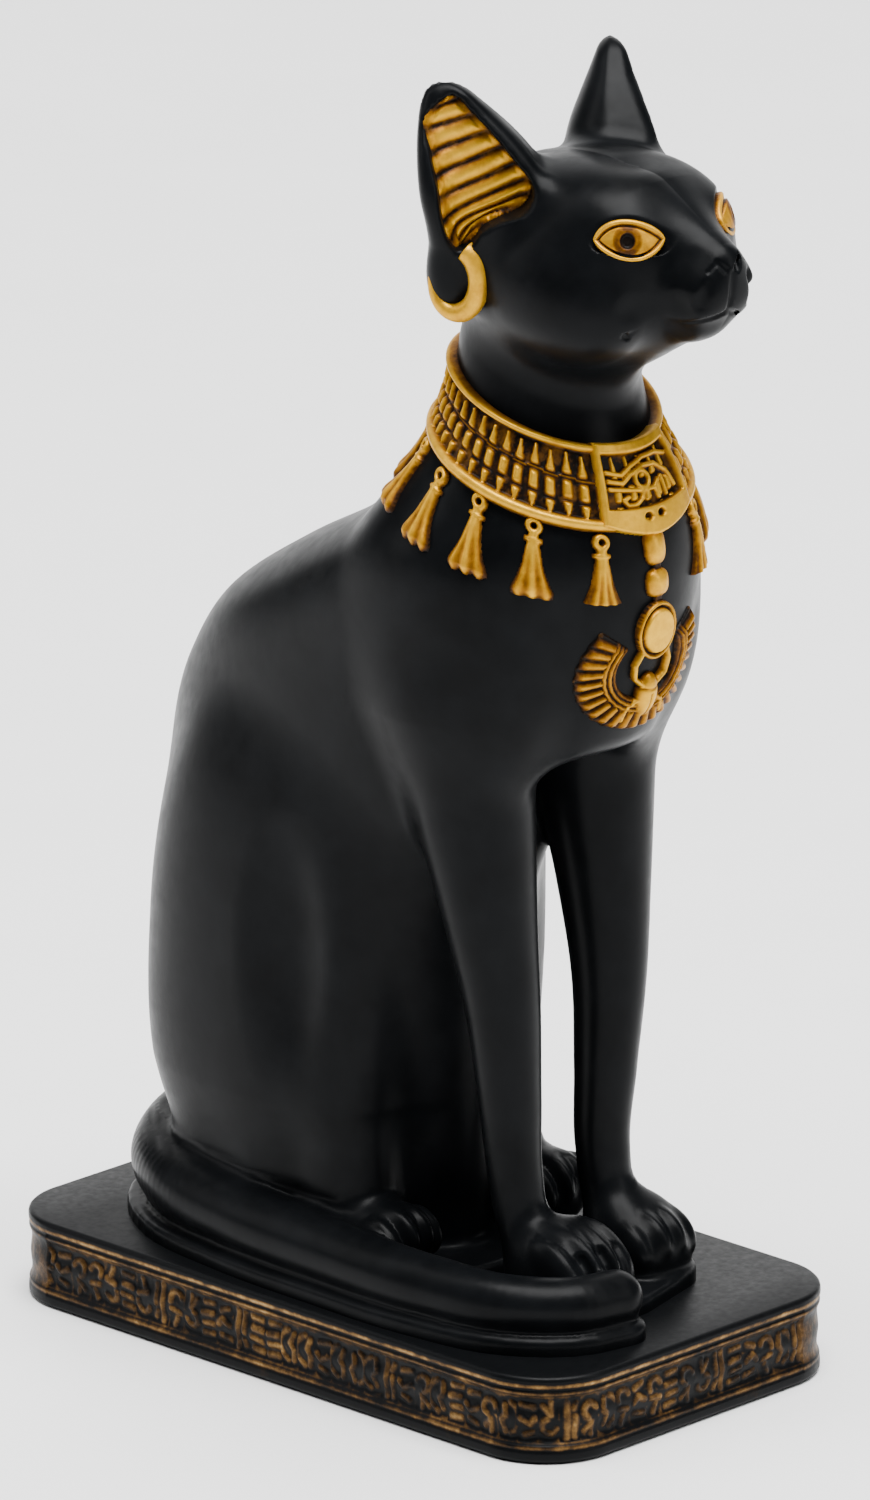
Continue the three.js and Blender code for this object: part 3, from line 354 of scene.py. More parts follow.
def cell_points(form, low, high, step):
    """Grid values near the skin; elsewhere only their sign is right."""
    block = BLOCK * step
    blocks = np.ceil((np.array(high) - low) / block).astype(int)
    starts = [low[k] + block * np.arange(blocks[k]) for k in range(3)]
    centres = np.stack(np.meshgrid(*starts, indexing="ij"), -1).reshape(-1, 3) + block / 2
    around = form(centres).reshape(blocks)
    values = np.sign(around) * FAR
    for axis in range(3):
        values = np.repeat(values, BLOCK, axis)
    near = np.argwhere(np.abs(around) < NEAR_STEPS * step)
    inner = np.stack(np.meshgrid(*[np.arange(BLOCK)] * 3, indexing="ij"), -1).reshape(-1, 3)
    nodes = (near[:, None] * BLOCK + inner).reshape(-1, 3)
    for some in np.array_split(nodes, max(1, len(nodes) // AT_ONCE)):
        values[tuple(some.T)] = form(np.array(low) + some * step)
    return values


def skin_quads(form, low, high, step):
    low = np.array(low, float)
    values = cell_points(form, low, high, step)
    inside = values < 0
    corners = [(i, j, k) for i in (0, 1) for j in (0, 1) for k in (0, 1)]
    size = np.array(values.shape)

    def part(corner):
        return inside[tuple(slice(c, s - 1 + c) for c, s in zip(corner, size))]

    filled = sum(part(corner).astype(int) for corner in corners)
    cells = np.argwhere((filled > 0) & (filled < 8))
    number = np.full(filled.shape, -1)
    number[tuple(cells.T)] = np.arange(len(cells))
    total, count = np.zeros((len(cells), 3)), np.zeros(len(cells))
    for a in corners:
        for axis in range(3):
            if a[axis]:
                continue
            b = np.array(a)
            b[axis] = 1
            from_value = values[tuple((cells + a).T)]
            to_value = values[tuple((cells + b).T)]
            crossed = (from_value < 0) != (to_value < 0)
            share = np.where(crossed, from_value / np.where(crossed, from_value - to_value, 1), 0)
            spot = cells + a + share[:, None] * (b - a)
            total += np.where(crossed[:, None], spot, 0)
            count += crossed
    points = low + step * total / count[:, None]
    quads = []
    for axis in range(3):
        one, u, v = np.roll(np.eye(3, dtype=int), -axis, 0)
        start = u + v
        window = tuple(slice(s, e) for s, e in zip(start, size - 1))
        shifted = tuple(slice(s, e) for s, e in zip(start + one, size - 1 + one))
        here, there = inside[window], inside[shifted]
        leaving, entering = np.argwhere(here & ~there), np.argwhere(~here & there)
        for edges, order in ((leaving, (0, 1, 2, 3)), (entering, (3, 2, 1, 0))):
            edges = edges + start
            ring = [edges - u - v, edges - v, edges, edges - u]
            quads.append(np.stack([number[tuple(ring[n].T)] for n in order], 1))
    return points, np.concatenate(quads)


SLOPE_REACH = 0.05
LEAST_STEEP = 0.05
LONGEST_MOVE = 1.5


def unit(vectors):
    return vectors / (np.linalg.norm(vectors, axis=-1, keepdims=True) + 1e-9)


def slope_of(form, p):
    steps = SLOPE_REACH * np.eye(3)
    return np.stack([form(p + s) - form(p - s) for s in steps], 1) / (2 * SLOPE_REACH)


def settle(form, p, rounds=2):
    """Moves points onto a form's skin; gives them with the way that the skin faces there."""
    for _ in range(rounds):
        slope = slope_of(form, p)
        move = form(p)[:, None] * slope / np.maximum((slope ** 2).sum(1), LEAST_STEEP)[:, None]
        p = p - np.clip(move, -LONGEST_MOVE, LONGEST_MOVE)
    return p, unit(slope_of(form, p))


def split_quads(points, quads, chosen):
    """Cuts chosen quads in four; a quad beside them takes the new edge points as corners of its own."""
    a, b = quads, np.roll(quads, -1, 1)
    key = np.minimum(a, b) * len(points) + np.maximum(a, b)
    wanted = np.unique(key[chosen])
    middles = len(points) + np.arange(len(wanted))
    place = np.clip(np.searchsorted(wanted, key), 0, len(wanted) - 1)
    middle = np.where(wanted[place] == key, middles[place], -1)
    edge_points = (points[wanted // len(points)] + points[wanted % len(points)]) / 2
    cut, ring = quads[chosen], middle[chosen]
    centre = len(points) + len(wanted) + np.arange(len(cut))
    four = [np.stack([cut[:, n], ring[:, n], centre, ring[:, n - 1]], 1) for n in range(4)]
    plain = ~chosen & (middle < 0).all(1)
    beside = ~chosen & ~plain
    mixed = []
    for quad, extra in zip(quads[beside].tolist(), middle[beside].tolist()):
        mixed.append([at for pair in zip(quad, extra) for at in pair if at >= 0])
    points = np.concatenate([points, edge_points, points[cut].mean(1)])
    return points, np.concatenate([quads[plain], *four]), mixed


# Meshes

def to_metres(points):
    return (np.asarray(points, float).reshape(-1, 3) + (0, 0, PLINTH_HEIGHT)) * MM


def put_in_scene(name, data):
    thing = bpy.data.objects.new(name, data)
    bpy.context.scene.collection.objects.link(thing)
    return thing


def grid_quads(number, beside):
    """Quads between the rows of a grid of point numbers and the grid of those beside them."""
    return np.stack([number[:-1], beside[:-1], beside[1:], number[1:]], -1).reshape(-1, 4)


def make_piece(name, points, faces, material, normals=None, wear_and_shade=None, more_faces=()):
    mesh = bpy.data.meshes.new(name)
    mesh.from_pydata(to_metres(points).tolist(), [], faces.tolist() + list(more_faces))
    mesh.polygons.foreach_set("use_smooth", np.ones(len(mesh.polygons), bool))
    if normals is not None:
        mesh.normals_split_custom_set_from_vertices(normals.tolist())
    # The point attribute holds rubbed wear and patina, and on the eyes and ear linings painted shade as well.
    if wear_and_shade is not None:
        layer = mesh.attributes.new("wear_and_shade", "FLOAT", "POINT")
        layer.data.foreach_set("value", np.asarray(wear_and_shade, np.float32).ravel())
    mesh.materials.append(material)
    piece = put_in_scene(name, mesh)
    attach(piece, "root")
    return piece


# Places on the skin, found along rays
RAY_ROUNDS = 60
RAY_PACE, LONGEST_STEP = 0.8, 6
ON_SKIN = 0.01


def skin_along(start, toward):
    at = np.array(start, float)
    live = np.arange(len(at))
    for _ in range(RAY_ROUNDS):
        gap = figure(at[live])
        live, gap = live[gap > ON_SKIN], gap[gap > ON_SKIN]
        if not len(live):
            break
        at[live] += np.minimum(RAY_PACE * gap, LONGEST_STEP)[:, None] * toward[live]
    return at


def finer(grid, rows, columns):
    """A grid of points, filled in smoothly between its own."""
    def along(values, count):
        last = len(values) - 1
        at = np.linspace(0, last, count)
        i = np.clip(at.astype(int), 0, last - 1)
        before, after = values[np.maximum(i - 1, 0)], values[np.minimum(i + 2, last)]
        a, b = values[i], values[i + 1]
        return between((at - i)[:, None, None], a, b, (b - before) / 2, (after - a) / 2)

    return along(along(grid, rows).transpose(1, 0, 2), columns).transpose(1, 0, 2)


def base_patch(place, u_range, v_range, step, coarse):
    """A grid of skin points and normals: place(u, v) gives ray starts and directions."""
    def places(rows, columns):
        return np.meshgrid(np.linspace(*u_range, columns), np.linspace(*v_range, rows))

    u, v = places(*coarse)
    rough = skin_along(*place(u.ravel(), v.ravel())).reshape(*coarse, 3)
    lengths = [np.median(np.linalg.norm(np.diff(rough, axis=k), axis=2).sum(k)) for k in (0, 1)]
    rows, columns = (int(length / step) + 2 for length in lengths)
    points, normals = settle(figure, finer(rough, rows, columns).reshape(-1, 3), 1)
    return *places(rows, columns), points.reshape(rows, columns, 3), normals.reshape(rows, columns, 3)


BURIED = -0.7  # how deep a relief's ground lies under the skin
SHALLOWER = 0.05


def relief(name, patch, height, wear_and_shade, material):
    """A sheet that stands above the skin by the given height; what lies under the skin is left out."""
    _, _, points, normals = patch
    number = np.arange(height.size).reshape(height.shape)
    quads = grid_quads(number[:, :-1], number[:, 1:])
    quads = quads[(height.ravel()[quads] > BURIED + SHALLOWER).any(1)]
    used, quads = np.unique(quads, return_inverse=True)
    quads = quads.reshape(-1, 4)
    raised = (points + normals * height[..., None]).reshape(-1, 3)[used]
    a, b, c = (raised[quads[:, n]] for n in range(3))
    facing = np.cross(b - a, c - a)
    if (facing * normals.reshape(-1, 3)[used][quads[:, 0]]).sum() <= 0:
        quads = quads[:, ::-1]
    make_piece(name, raised, quads, material, wear_and_shade=wear_and_shade.ravel()[used])


def dome(a):
    """A rounded bump: 1 in the middle, 0 at a = 1 and beyond."""
    return np.sqrt(np.maximum(0.0, 1 - np.minimum(np.abs(a), 1) ** 2))


def plateau(distance, edge):
    """1 well inside a shape, 0 outside it, over a soft edge."""
    t = np.clip(0.5 - distance / edge, 0, 1)
    return t * t * (3 - 2 * t)


def line_distance(u, v, points):
    nearest = np.full(np.shape(u), 1e9)
    for (a, b), (c, d) in zip(points[:-1], points[1:]):
        du, dv = c - a, d - b
        t = np.clip(((u - a) * du + (v - b) * dv) / (du * du + dv * dv + 1e-12), 0, 1)
        nearest = np.minimum(nearest, np.hypot(u - a - t * du, v - b - t * dv))
    return nearest


def arc(centre, radius, start, end, count=9):
    angles = np.radians(np.linspace(start, end, count))
    return [(centre[0] + radius * math.cos(t), centre[1] + radius * math.sin(t)) for t in angles]


# Materials, made of nodes

class Nodes:
    """A material's node tree, with short ways to add what is used here."""

    def __init__(self, name):
        self.material = bpy.data.materials.new(name)
        self.material.use_nodes = True
        self.tree = self.material.node_tree
        self.place = self.tree.nodes.new("ShaderNodeTexCoord").outputs["Object"]

    def feed(self, node, inputs):
        """Gives inputs their number, their colour or the output of another node."""
        for name, value in inputs.items():
            if isinstance(value, (int, float)):
                node.inputs[name].default_value = value
            elif isinstance(value, tuple):
                node.inputs[name].default_value = (*value, 1)
            else:
                self.tree.links.new(value, node.inputs[name])

    def noise(self, size_mm, detail=4, rough=0.55):
        node = self.tree.nodes.new("ShaderNodeTexNoise")
        scale = 1 / (size_mm * MM)
        self.feed(node, {"Scale": scale, "Detail": detail, "Roughness": rough, "Vector": self.place})
        return node.outputs["Fac"]

    def wear_and_shade(self):
        node = self.tree.nodes.new("ShaderNodeAttribute")
        node.attribute_name = "wear_and_shade"
        return node.outputs["Fac"]

    def maths(self, kind, *values):
        node = self.tree.nodes.new("ShaderNodeMath")
        node.operation = kind
        self.feed(node, dict(enumerate(values)))
        return node.outputs[0]

    def spread(self, value, low, high, to_low=0.0, to_high=1.0):
        node = self.tree.nodes.new("ShaderNodeMapRange")
        ends = {"From Min": low, "From Max": high, "To Min": to_low, "To Max": to_high}
        self.feed(node, {"Value": value, **ends})
        return node.outputs["Result"]

    def ramp(self, value, *stops):
        node = self.tree.nodes.new("ShaderNodeValToRGB")
        elements = node.color_ramp.elements
        while len(elements) < len(stops):
            elements.new(0.5)
        for element, (position, colour) in zip(elements, stops):
            element.position = position
            element.color = (*colour, 1)
        self.feed(node, {"Fac": value})
        return node.outputs["Color"]

    def mix(self, share, a, b):
        node = self.tree.nodes.new("ShaderNodeMix")
        node.data_type = "RGBA"
        self.feed(node, {"Factor": share, "A": a, "B": b})
        return node.outputs["Result"]

    def bump(self, height, depth_mm, below=None):
        node = self.tree.nodes.new("ShaderNodeBump")
        self.feed(node, {"Strength": 1, "Distance": depth_mm * MM, "Height": height})
        if below:
            self.feed(node, {"Normal": below})
        return node.outputs["Normal"]

    def finish(self, **inputs):
        """Feeds the shader, whose inputs are named with _ for each space, and gives the material."""
        shader = self.tree.nodes["Principled BSDF"]
        self.feed(shader, {name.replace("_", " "): value for name, value in inputs.items()})
        return self.material


CHARCOAL = (0.0020, 0.0023, 0.0027)
CHARCOAL_PALE = (0.0040, 0.0045, 0.0052)
GOLD_STOPS = ((0.14, (0.006, 0.004, 0.003)), (0.32, (0.07, 0.024, 0.003)), (0.50, (0.26, 0.105, 0.004)),
              (0.72, (0.55, 0.27, 0.010)), (1.0, (0.80, 0.45, 0.020)))
TARNISH = (0.30, 0.12, 0.010)
BRONZE_STOPS = ((0.12, CHARCOAL), (0.30, (0.014, 0.008, 0.004)), (0.50, (0.058, 0.029, 0.009)),
                (0.72, (0.15, 0.080, 0.024)), (1.0, (0.36, 0.22, 0.085)))
BLACK_GLOSS, GOLD_GLOSS = 0.06, 0.08


def satin_black():
    n = Nodes("satin_black_paint")
    mottled = n.ramp(n.noise(9, 3), (0.35, CHARCOAL), (0.7, CHARCOAL_PALE))
    satin = n.spread(n.noise(2.5, 5), 0.3, 0.7, 0.29, 0.38)
    orange_peel = n.bump(n.noise(1.6, 2), 0.012)
    grain = n.bump(n.noise(0.3, 3), 0.005, orange_peel)
    return n.finish(Base_Color=mottled, Roughness=satin, Specular_IOR_Level=BLACK_GLOSS, Normal=grain)


def rubbed_gold():
    n = Nodes("rubbed_gold_paint")
    broken = n.maths("MULTIPLY_ADD", n.noise(1.3, 5, 0.6), 0.4, -0.2)
    # The gold's colour follows the point attribute: rubbed wear and patina, and on the eyes and ear linings
    # painted shade.
    wear_and_shade_level = n.maths("ADD", n.wear_and_shade(), broken)
    tarnished = n.spread(n.noise(3.2, 4, 0.6), 0.52, 0.75, 0, 0.5)
    colour = n.mix(tarnished, n.ramp(wear_and_shade_level, *GOLD_STOPS), TARNISH)
    metal = n.spread(wear_and_shade_level, 0.1, 0.6, 0.0, 0.55)
    satin = n.spread(n.noise(0.8, 4), 0.3, 0.7, 0.32, 0.46)
    brushed = n.bump(n.noise(0.9, 4), 0.04)
    grain = n.bump(n.noise(0.2, 2), 0.01, brushed)
    return n.finish(Base_Color=colour, Metallic=metal, Roughness=satin, Specular_IOR_Level=GOLD_GLOSS,
                    Normal=grain)


def bronzed_black():
    n = Nodes("bronzed_black_paint")
    broken = n.maths("MULTIPLY_ADD", n.noise(1.5, 6, 0.65), 1.1, -0.55)
    small_patches = n.maths("MULTIPLY_ADD", n.noise(4.5, 3), 0.9, -0.9)
    patches = n.maths("ADD", n.maths("MULTIPLY", n.noise(13, 3), 0.8), small_patches)
    wear_and_shade_level = n.maths("ADD", n.maths("ADD", n.wear_and_shade(), broken), patches)
    bare = n.maths("MULTIPLY", wear_and_shade_level, n.spread(n.wear_and_shade(), 0.05, 0.15))
    metal = n.spread(bare, 0.3, 0.9, 0.0, 0.45)
    satin = n.spread(n.noise(1.1, 4), 0.3, 0.7, 0.34, 0.46)
    pits = n.maths("MULTIPLY", n.noise(0.7, 5), n.spread(n.wear_and_shade(), 0.05, 0.3, 0.2, 1.0))
    return n.finish(Base_Color=n.ramp(bare, *BRONZE_STOPS), Metallic=metal, Roughness=satin,
                    Specular_IOR_Level=GOLD_GLOSS, Normal=n.bump(pits, 0.045))


BLACK, GOLD, BRONZE = satin_black(), rubbed_gold(), bronzed_black()

# The cat's skin is two meshes that part along a slanted plane under the collar and overlap a little.
PART_HEIGHT, PART_SLOPE, PART_Y = 127.0, 0.40, -43
PART_OVERLAP = 0.6
NOSE_SHIFT, EYE_SHIFT = -0.9, -0.4  # the face is turned a little to the cat's right
NOSTRIL = limb([(1.1, -62.6, 163.5, 0.5), (1.9, -61.5, 164.7, 0.3)])
NOSTRIL_SIDE = limb([(1.9, -61.6, 164.6, 0.3), (3.2, -61.0, 163.4, 0.25)])
PHILTRUM = limb([(0, -63.0, 162.8, 0.35), (0, -62.9, 159.8, 0.45), (0, -61.9, 157.2, 0.4)])
PAD_CREASE = limb([(4.2, -61.8, 161.6, 0.6), (5.0, -61.2, 158.4, 0.9)])
CHEEK_SCOOP = limb([(11.2, -54.6, 157.0, 2.4), (8.2, -58.8, 157.5, 2.7), (6.2, -61.9, 158.8, 1.0)])
MOUTH = limb(limb_path(10, (0, -61.9, 157.0, 0.35), (3.0, -60.8, 156.1, 0.35), (5.2, -57.0, 155.0, 0.3),
                       (8.2, -53.4, 154.2, 0.22), (10.2, -51.7, 153.3, 0.3)))
MOUTH_CORNER = limb([(10.4, -51.6, 153.2, 0.6), (9.8, -51.4, 152.9, 0.4)])
# The grooves of the face, each with how round its edges are
FACE_GROOVES = ((CHEEK_SCOOP, 1.8), (PAD_CREASE, 1.0), (NOSTRIL, 0.5), (NOSTRIL_SIDE, 0.4), (PHILTRUM, 0.6),
                (MOUTH, 0.5), (MOUTH_CORNER, 0.4))
EYE_SOCKET = ellipsoid((9.3, -51.2, 167.7), (6.0, 1.1, 3.5), yaw=44)
# Where the face, the forepaws and the hind paws lie, and where the feet and the muzzle are meshed finer
FACE_AHEAD, FACE_ABOVE = -41, 150
PAWS_BELOW, FOREPAWS_AHEAD = 18, -29
HIND_MIDDLE, HIND_REACH = -12, 12
FINE_BELOW, FINE_AHEAD, FINE_RIGHT, SOLE_BELOW = 12, -4, -9, 4
MUZZLE_AHEAD = -44

TOE_SIDES = (-1.5, -0.5, 0.5, 1.5)
TOE_BACK, TOE_DROP = 1.1, 1.0  # how much further back and lower a toe lies for each pitch aside


def toes(middle, pitch, radii, tilt):
    """Four toes of a paw as tilted ellipsoids, the outer ones further back and lower."""
    x, y, z = middle
    row = [(x + pitch * side, y + TOE_BACK * abs(side), z - TOE_DROP * abs(side)) for side in TOE_SIDES]
    return [ellipsoid(place, radii, pitch=tilt) for place in row]


TOES_LEFT = toes((10.6, -38.6, 8.7), 3.3, (1.9, 4.4, 3.2), 32)
TOES_RIGHT = toes((-7.0, -40.9, 10.3), 3.6, (1.9, 5.6, 3.2), 33)
TOES_HIND = toes((16.6, -13.7, 9.8), 2.9, (1.7, 4, 3.2), 40)
CLEFT_RADIUS = 0.75
CLEFT_SIDES = (-4.2, -0.6, 3.0)
CLEFT_ANGLES = np.radians(np.linspace(78, -12, 8))


def cleft(aside):
    """A cleft between toes: a thin limb down the right forepaw's rounded front to its foot."""
    wide, long, high = PAW_RIGHT_RADII
    narrowing = (1 - abs(aside / wide) ** PAW_POWER) ** (1 / PAW_POWER)
    tilt = math.radians(PAW_PITCH)
    path = []
    for angle in CLEFT_ANGLES:
        ahead = long * narrowing * math.cos(angle) ** (2 / PAW_POWER)
        above = high * narrowing * math.copysign(abs(math.sin(angle)) ** (2 / PAW_POWER), angle)
        y = -ahead * math.cos(tilt) - above * math.sin(tilt)
        z = -ahead * math.sin(tilt) + above * math.cos(tilt)
        path.append((PAW_RIGHT[0] + aside, PAW_RIGHT[1] + y, PAW_RIGHT[2] + z, CLEFT_RADIUS))
    return limb(path)


CLEFTS = [cleft(aside) for aside in CLEFT_SIDES]


def nearest_of(forms, p):
    return np.minimum.reduce([form(p) for form in forms])


def carved(p):
    """The figure with its finer carving: the face's grooves, the eye sockets, the toes and their clefts."""
    form = figure(p)
    y, z = p[:, 1], p[:, 2]
    face = np.flatnonzero((y < FACE_AHEAD) & (z > FACE_ABOVE))
    if len(face):
        skin = form[face]
        about_nose = mirrored(p[face] - (NOSE_SHIFT, 0, 0))
        for groove, rounding in FACE_GROOVES:
            skin = smooth_max(skin, -groove(about_nose), rounding)
        about_eyes = mirrored(p[face] - (EYE_SHIFT, 0, 0))
        form[face] = smooth_max(skin, -EYE_SOCKET(about_eyes), BLEND["eye_socket"])
    low = z < PAWS_BELOW
    hind = np.flatnonzero(low & (np.abs(y - HIND_MIDDLE) < HIND_REACH))
    if len(hind):
        form[hind] = smooth_min(form[hind], nearest_of(TOES_HIND, mirrored(p[hind])), BLEND["toes"])
    fore = np.flatnonzero(low & (y < FOREPAWS_AHEAD))
    if len(fore):
        skin = smooth_min(form[fore], nearest_of(TOES_LEFT, p[fore]), BLEND["toes"])
        skin = smooth_min(skin, nearest_of(TOES_RIGHT, p[fore]), BLEND["toes"])
        form[fore] = smooth_max(skin, -nearest_of(CLEFTS, p[fore]), BLEND["clefts"])
    return form


def skin_piece(name, side, low, high, step, zones):
    """One of the two meshes; in each zone its quads are cut in four once more."""
    def form(p):
        parting = p[:, 2] - PART_HEIGHT - PART_SLOPE * (p[:, 1] - PART_Y)
        return np.maximum(carved(p), side * parting - PART_OVERLAP)

    points, quads = skin_quads(form, low, high, step)
    more = []
    for zone in zones:
        points, quads, mixed = split_quads(points, quads, zone(points[quads].mean(1)))
        more += mixed
    points, normals = settle(form, points)
    piece = make_piece(name, points, quads, BLACK, normals=normals, more_faces=more)
    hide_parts("cat")


def near_feet(p):
    x, y, z = p.T
    return (z < FINE_BELOW) & ((y < FINE_AHEAD) | (x < FINE_RIGHT) | (z < SOLE_BELOW))


def near_face(p):
    return (p[:, 1] < MUZZLE_AHEAD) & (p[:, 2] > FACE_ABOVE)

BODY_STEP = 1.15
HEAD_STEP = 0.7
skin_piece("cat_body", 1, (-34, -57, -1.2), (31, 54, 146), BODY_STEP, [near_feet])
skin_piece("cat_head", -1, (-32, -65, 118), (32, -4, 190), HEAD_STEP, [near_face])

# The collar: places by angle round the neck from the front and by share of the way down from its top rim
NECK_AXIS = -26.3
COLLAR_TOP = 138.8
COLLAR_DROP = 10.5
COLLAR_FROM, COLLAR_TO = -0.027, 1.02
TOP_DIP, DIP_CHANGE = 0.415, -0.07
RAY_START = 48
BEAD_COLUMNS = 46
BEAD_ROWS = (("drop", 0.12, 0.385), ("barrel", 0.43, 0.67), ("leaf", 0.69, 0.88))  # kind, top and bottom
BEAD_PROUD, BEAD_GROUND = 1.25, 0.45
UNEVEN, SAG = 0.08, 0.03
STRING_PLACE, STRING_HALF = 0.408, 0.014
RIMS = ((0.03, 0.052), (0.945, 0.075))  # middle and half width
RIM_PROUD, RIM_GROUND = 1.6, 0.4
RELIEF_STEP = 0.24


def collar_rays(angle, down):
    turn = np.radians(angle)
    dip = TOP_DIP + DIP_CHANGE * down
    toward = unit(np.stack([np.sin(turn), -np.cos(turn), -dip * np.cos(turn)], 1))
    axis = np.stack([0 * turn, 0 * turn + NECK_AXIS, COLLAR_TOP - COLLAR_DROP * down], 1)
    return axis + RAY_START * toward, -toward


def scatter(number, seed):
    """A steady pseudo-random share for each whole number."""
    return np.mod(np.sin(number * 12.9898 + seed * 78.233) * 43758.5453, 1.0)


def row_height(share, along, kind):
    """Beads of one row: share is 0 on a column's middle line and 1 at its side; along runs downwards."""
    t = np.clip(along, 0, 1)
    half, end = {
        "drop": (0.2 + 0.45 * np.clip(t, 0, 0.8) ** 1.4 / 0.73, (1 - t) / 0.16),
        "barrel": (0.64 + 0 * t, np.minimum(t, 1 - t) / 0.22),
        "leaf": (0.66 * (1 - t) ** 0.6, t / 0.2),
    }[kind]
    inside = (along > 0) & (along < 1)
    return np.where(inside, dome(share / np.maximum(half, 0.05)) * np.sqrt(np.clip(end, 0, 1)), 0)


def collar_height(angle, down):
    place = angle / 360 * BEAD_COLUMNS
    column = np.round(place)
    share = 2 * np.abs(place - column + UNEVEN * (scatter(column, 1) - 0.5))
    hung = down + SAG * (scatter(column, 2) - 0.5)
    beads = sum(row_height(share, (hung - top) / (bottom - top), kind) for kind, top, bottom in BEAD_ROWS)
    string = 0.55 * dome((hung - STRING_PLACE) / STRING_HALF)
    height = BEAD_GROUND + np.maximum((BEAD_PROUD - BEAD_GROUND) * beads, 0.5 * string)
    wear_and_shade = np.maximum(0.02 + 0.85 * beads, 0.9 * string)
    for middle, half in RIMS:
        bar = dome((down - middle) / half) ** 0.7
        height = np.maximum(height, np.where(bar > 0, RIM_GROUND + (RIM_PROUD - RIM_GROUND) * bar, 0))
        wear_and_shade = np.maximum(wear_and_shade, 0.15 + 0.75 * bar)
    return np.where((down < COLLAR_FROM) | (down > COLLAR_TO), BURIED, height), wear_and_shade


def make_collar():
    patch = base_patch(collar_rays, (-181, 181), (-0.06, 1.06), RELIEF_STEP, (14, 150))
    height, wear_and_shade = collar_height(patch[0], patch[1])
    relief("collar_beads", patch, height, wear_and_shade, GOLD)


# The plaque in front, in shares of its half width across and of the collar's width down
PLAQUE_HALF_ANGLE = 25.5
PLAQUE_REACH, PLAQUE_DOWN = 1.06, (-0.06, 1.2)
PLAQUE_PROUD, PLAQUE_FIELD = 2.0, 0.8
PLAQUE_HEAD, PLAQUE_FOOT, FOOT_BOW = -0.03, 1.13, 0.17
FRAME_SIDE, FRAME_TOP, FRAME_FOOT = 0.86, 0.11, 0.735
FRAME_EDGE = 0.5
HOLES, HOLE_RADIUS = ((-0.16, 0.86), (0.12, 0.85)), 0.55
LINE_HALF, LINE_PROUD = 0.42, 0.75
PLAQUE_LINES = [
    [(-0.8, 0.30), (-0.5, 0.33), (-0.25, 0.24), (0.1, 0.17), (0.5, 0.18), (0.8, 0.26)],
    [(-0.78, 0.40), (-0.5, 0.42), (-0.3, 0.33), (0.05, 0.26), (0.35, 0.28), (0.62, 0.42), (0.72, 0.62)],
    [(-0.78, 0.49), (-0.45, 0.50), (-0.15, 0.52), (0.15, 0.53), (0.3, 0.46)],
    [(-0.02, 0.53), (-0.06, 0.64)],
    [(0.18, 0.53), (0.22, 0.66)],
    [(0.4, 0.44), (0.42, 0.66)],
    [(-0.12, 0.54), (-0.16, 0.62), (-0.3, 0.69), (-0.48, 0.69), (-0.55, 0.62), (-0.44, 0.585)],
]
MOTIF_PUPIL, MOTIF_PUPIL_RADIUS = (-0.06, 0.40), 1.15


def make_plaque():
    side = PLAQUE_REACH * PLAQUE_HALF_ANGLE
    patch = base_patch(collar_rays, (-side, side), PLAQUE_DOWN, RELIEF_STEP * 0.8, (16, 24))
    angle, down, points, _ = patch
    across = angle / PLAQUE_HALF_ANGLE
    # Millimetres for each share, across and down
    wide = np.linalg.norm(points[:, -1] - points[:, 0], axis=1).mean() / (2 * PLAQUE_REACH)
    tall = np.linalg.norm(points[-1] - points[0], axis=1).mean() / (PLAQUE_DOWN[1] - PLAQUE_DOWN[0])
    u, v = across * wide, down * tall

    def from_point(a, b):
        return np.hypot(u - a * wide, v - b * tall)

    lines = [line_distance(u, v, [(a * wide, b * tall) for a, b in line]) for line in PLAQUE_LINES]
    lines.append(np.abs(from_point(*MOTIF_PUPIL) - MOTIF_PUPIL_RADIUS))
    motif = dome(np.minimum.reduce(lines) / LINE_HALF)
    frame_part = plateau(FRAME_SIDE * wide - np.abs(u), FRAME_EDGE)
    frame_part = np.maximum(frame_part, plateau(FRAME_FOOT * tall - v, FRAME_EDGE))
    frame_part = np.maximum(frame_part, plateau(v - FRAME_TOP * tall, FRAME_EDGE))
    hole = plateau(np.minimum(from_point(*HOLES[0]), from_point(*HOLES[1])) - HOLE_RADIUS, 0.4)
    proud = np.maximum(frame_part * (PLAQUE_PROUD - PLAQUE_FIELD), LINE_PROUD * motif)
    foot = PLAQUE_FOOT - FOOT_BOW * np.abs(across) ** 1.4
    outline = np.maximum(np.abs(u) - wide, np.maximum(PLAQUE_HEAD * tall - v, v - foot * tall))
    rounded = 0.5 * (1 - np.clip(-outline / 0.4, 0, 1)) ** 2
    height = np.where(outline > 0, BURIED, PLAQUE_FIELD + proud - hole - rounded)
    wear_and_shade = np.clip(np.maximum(0.85 * frame_part, 0.04 + 0.8 * motif) - hole, 0.03, 1)
    relief("collar_plaque", patch, height, wear_and_shade, GOLD)


def half_row(patch):
    """Distances along a patch's middle line and from it, for a piece that hangs from the collar."""
    points = patch[2]
    middle = points[:, points.shape[1] // 2]
    gone = np.r_[0, np.cumsum(np.linalg.norm(np.diff(middle, axis=0), axis=1))]
    return gone[:, None] + 0 * patch[0], np.linalg.norm(points - middle[:, None], axis=2)


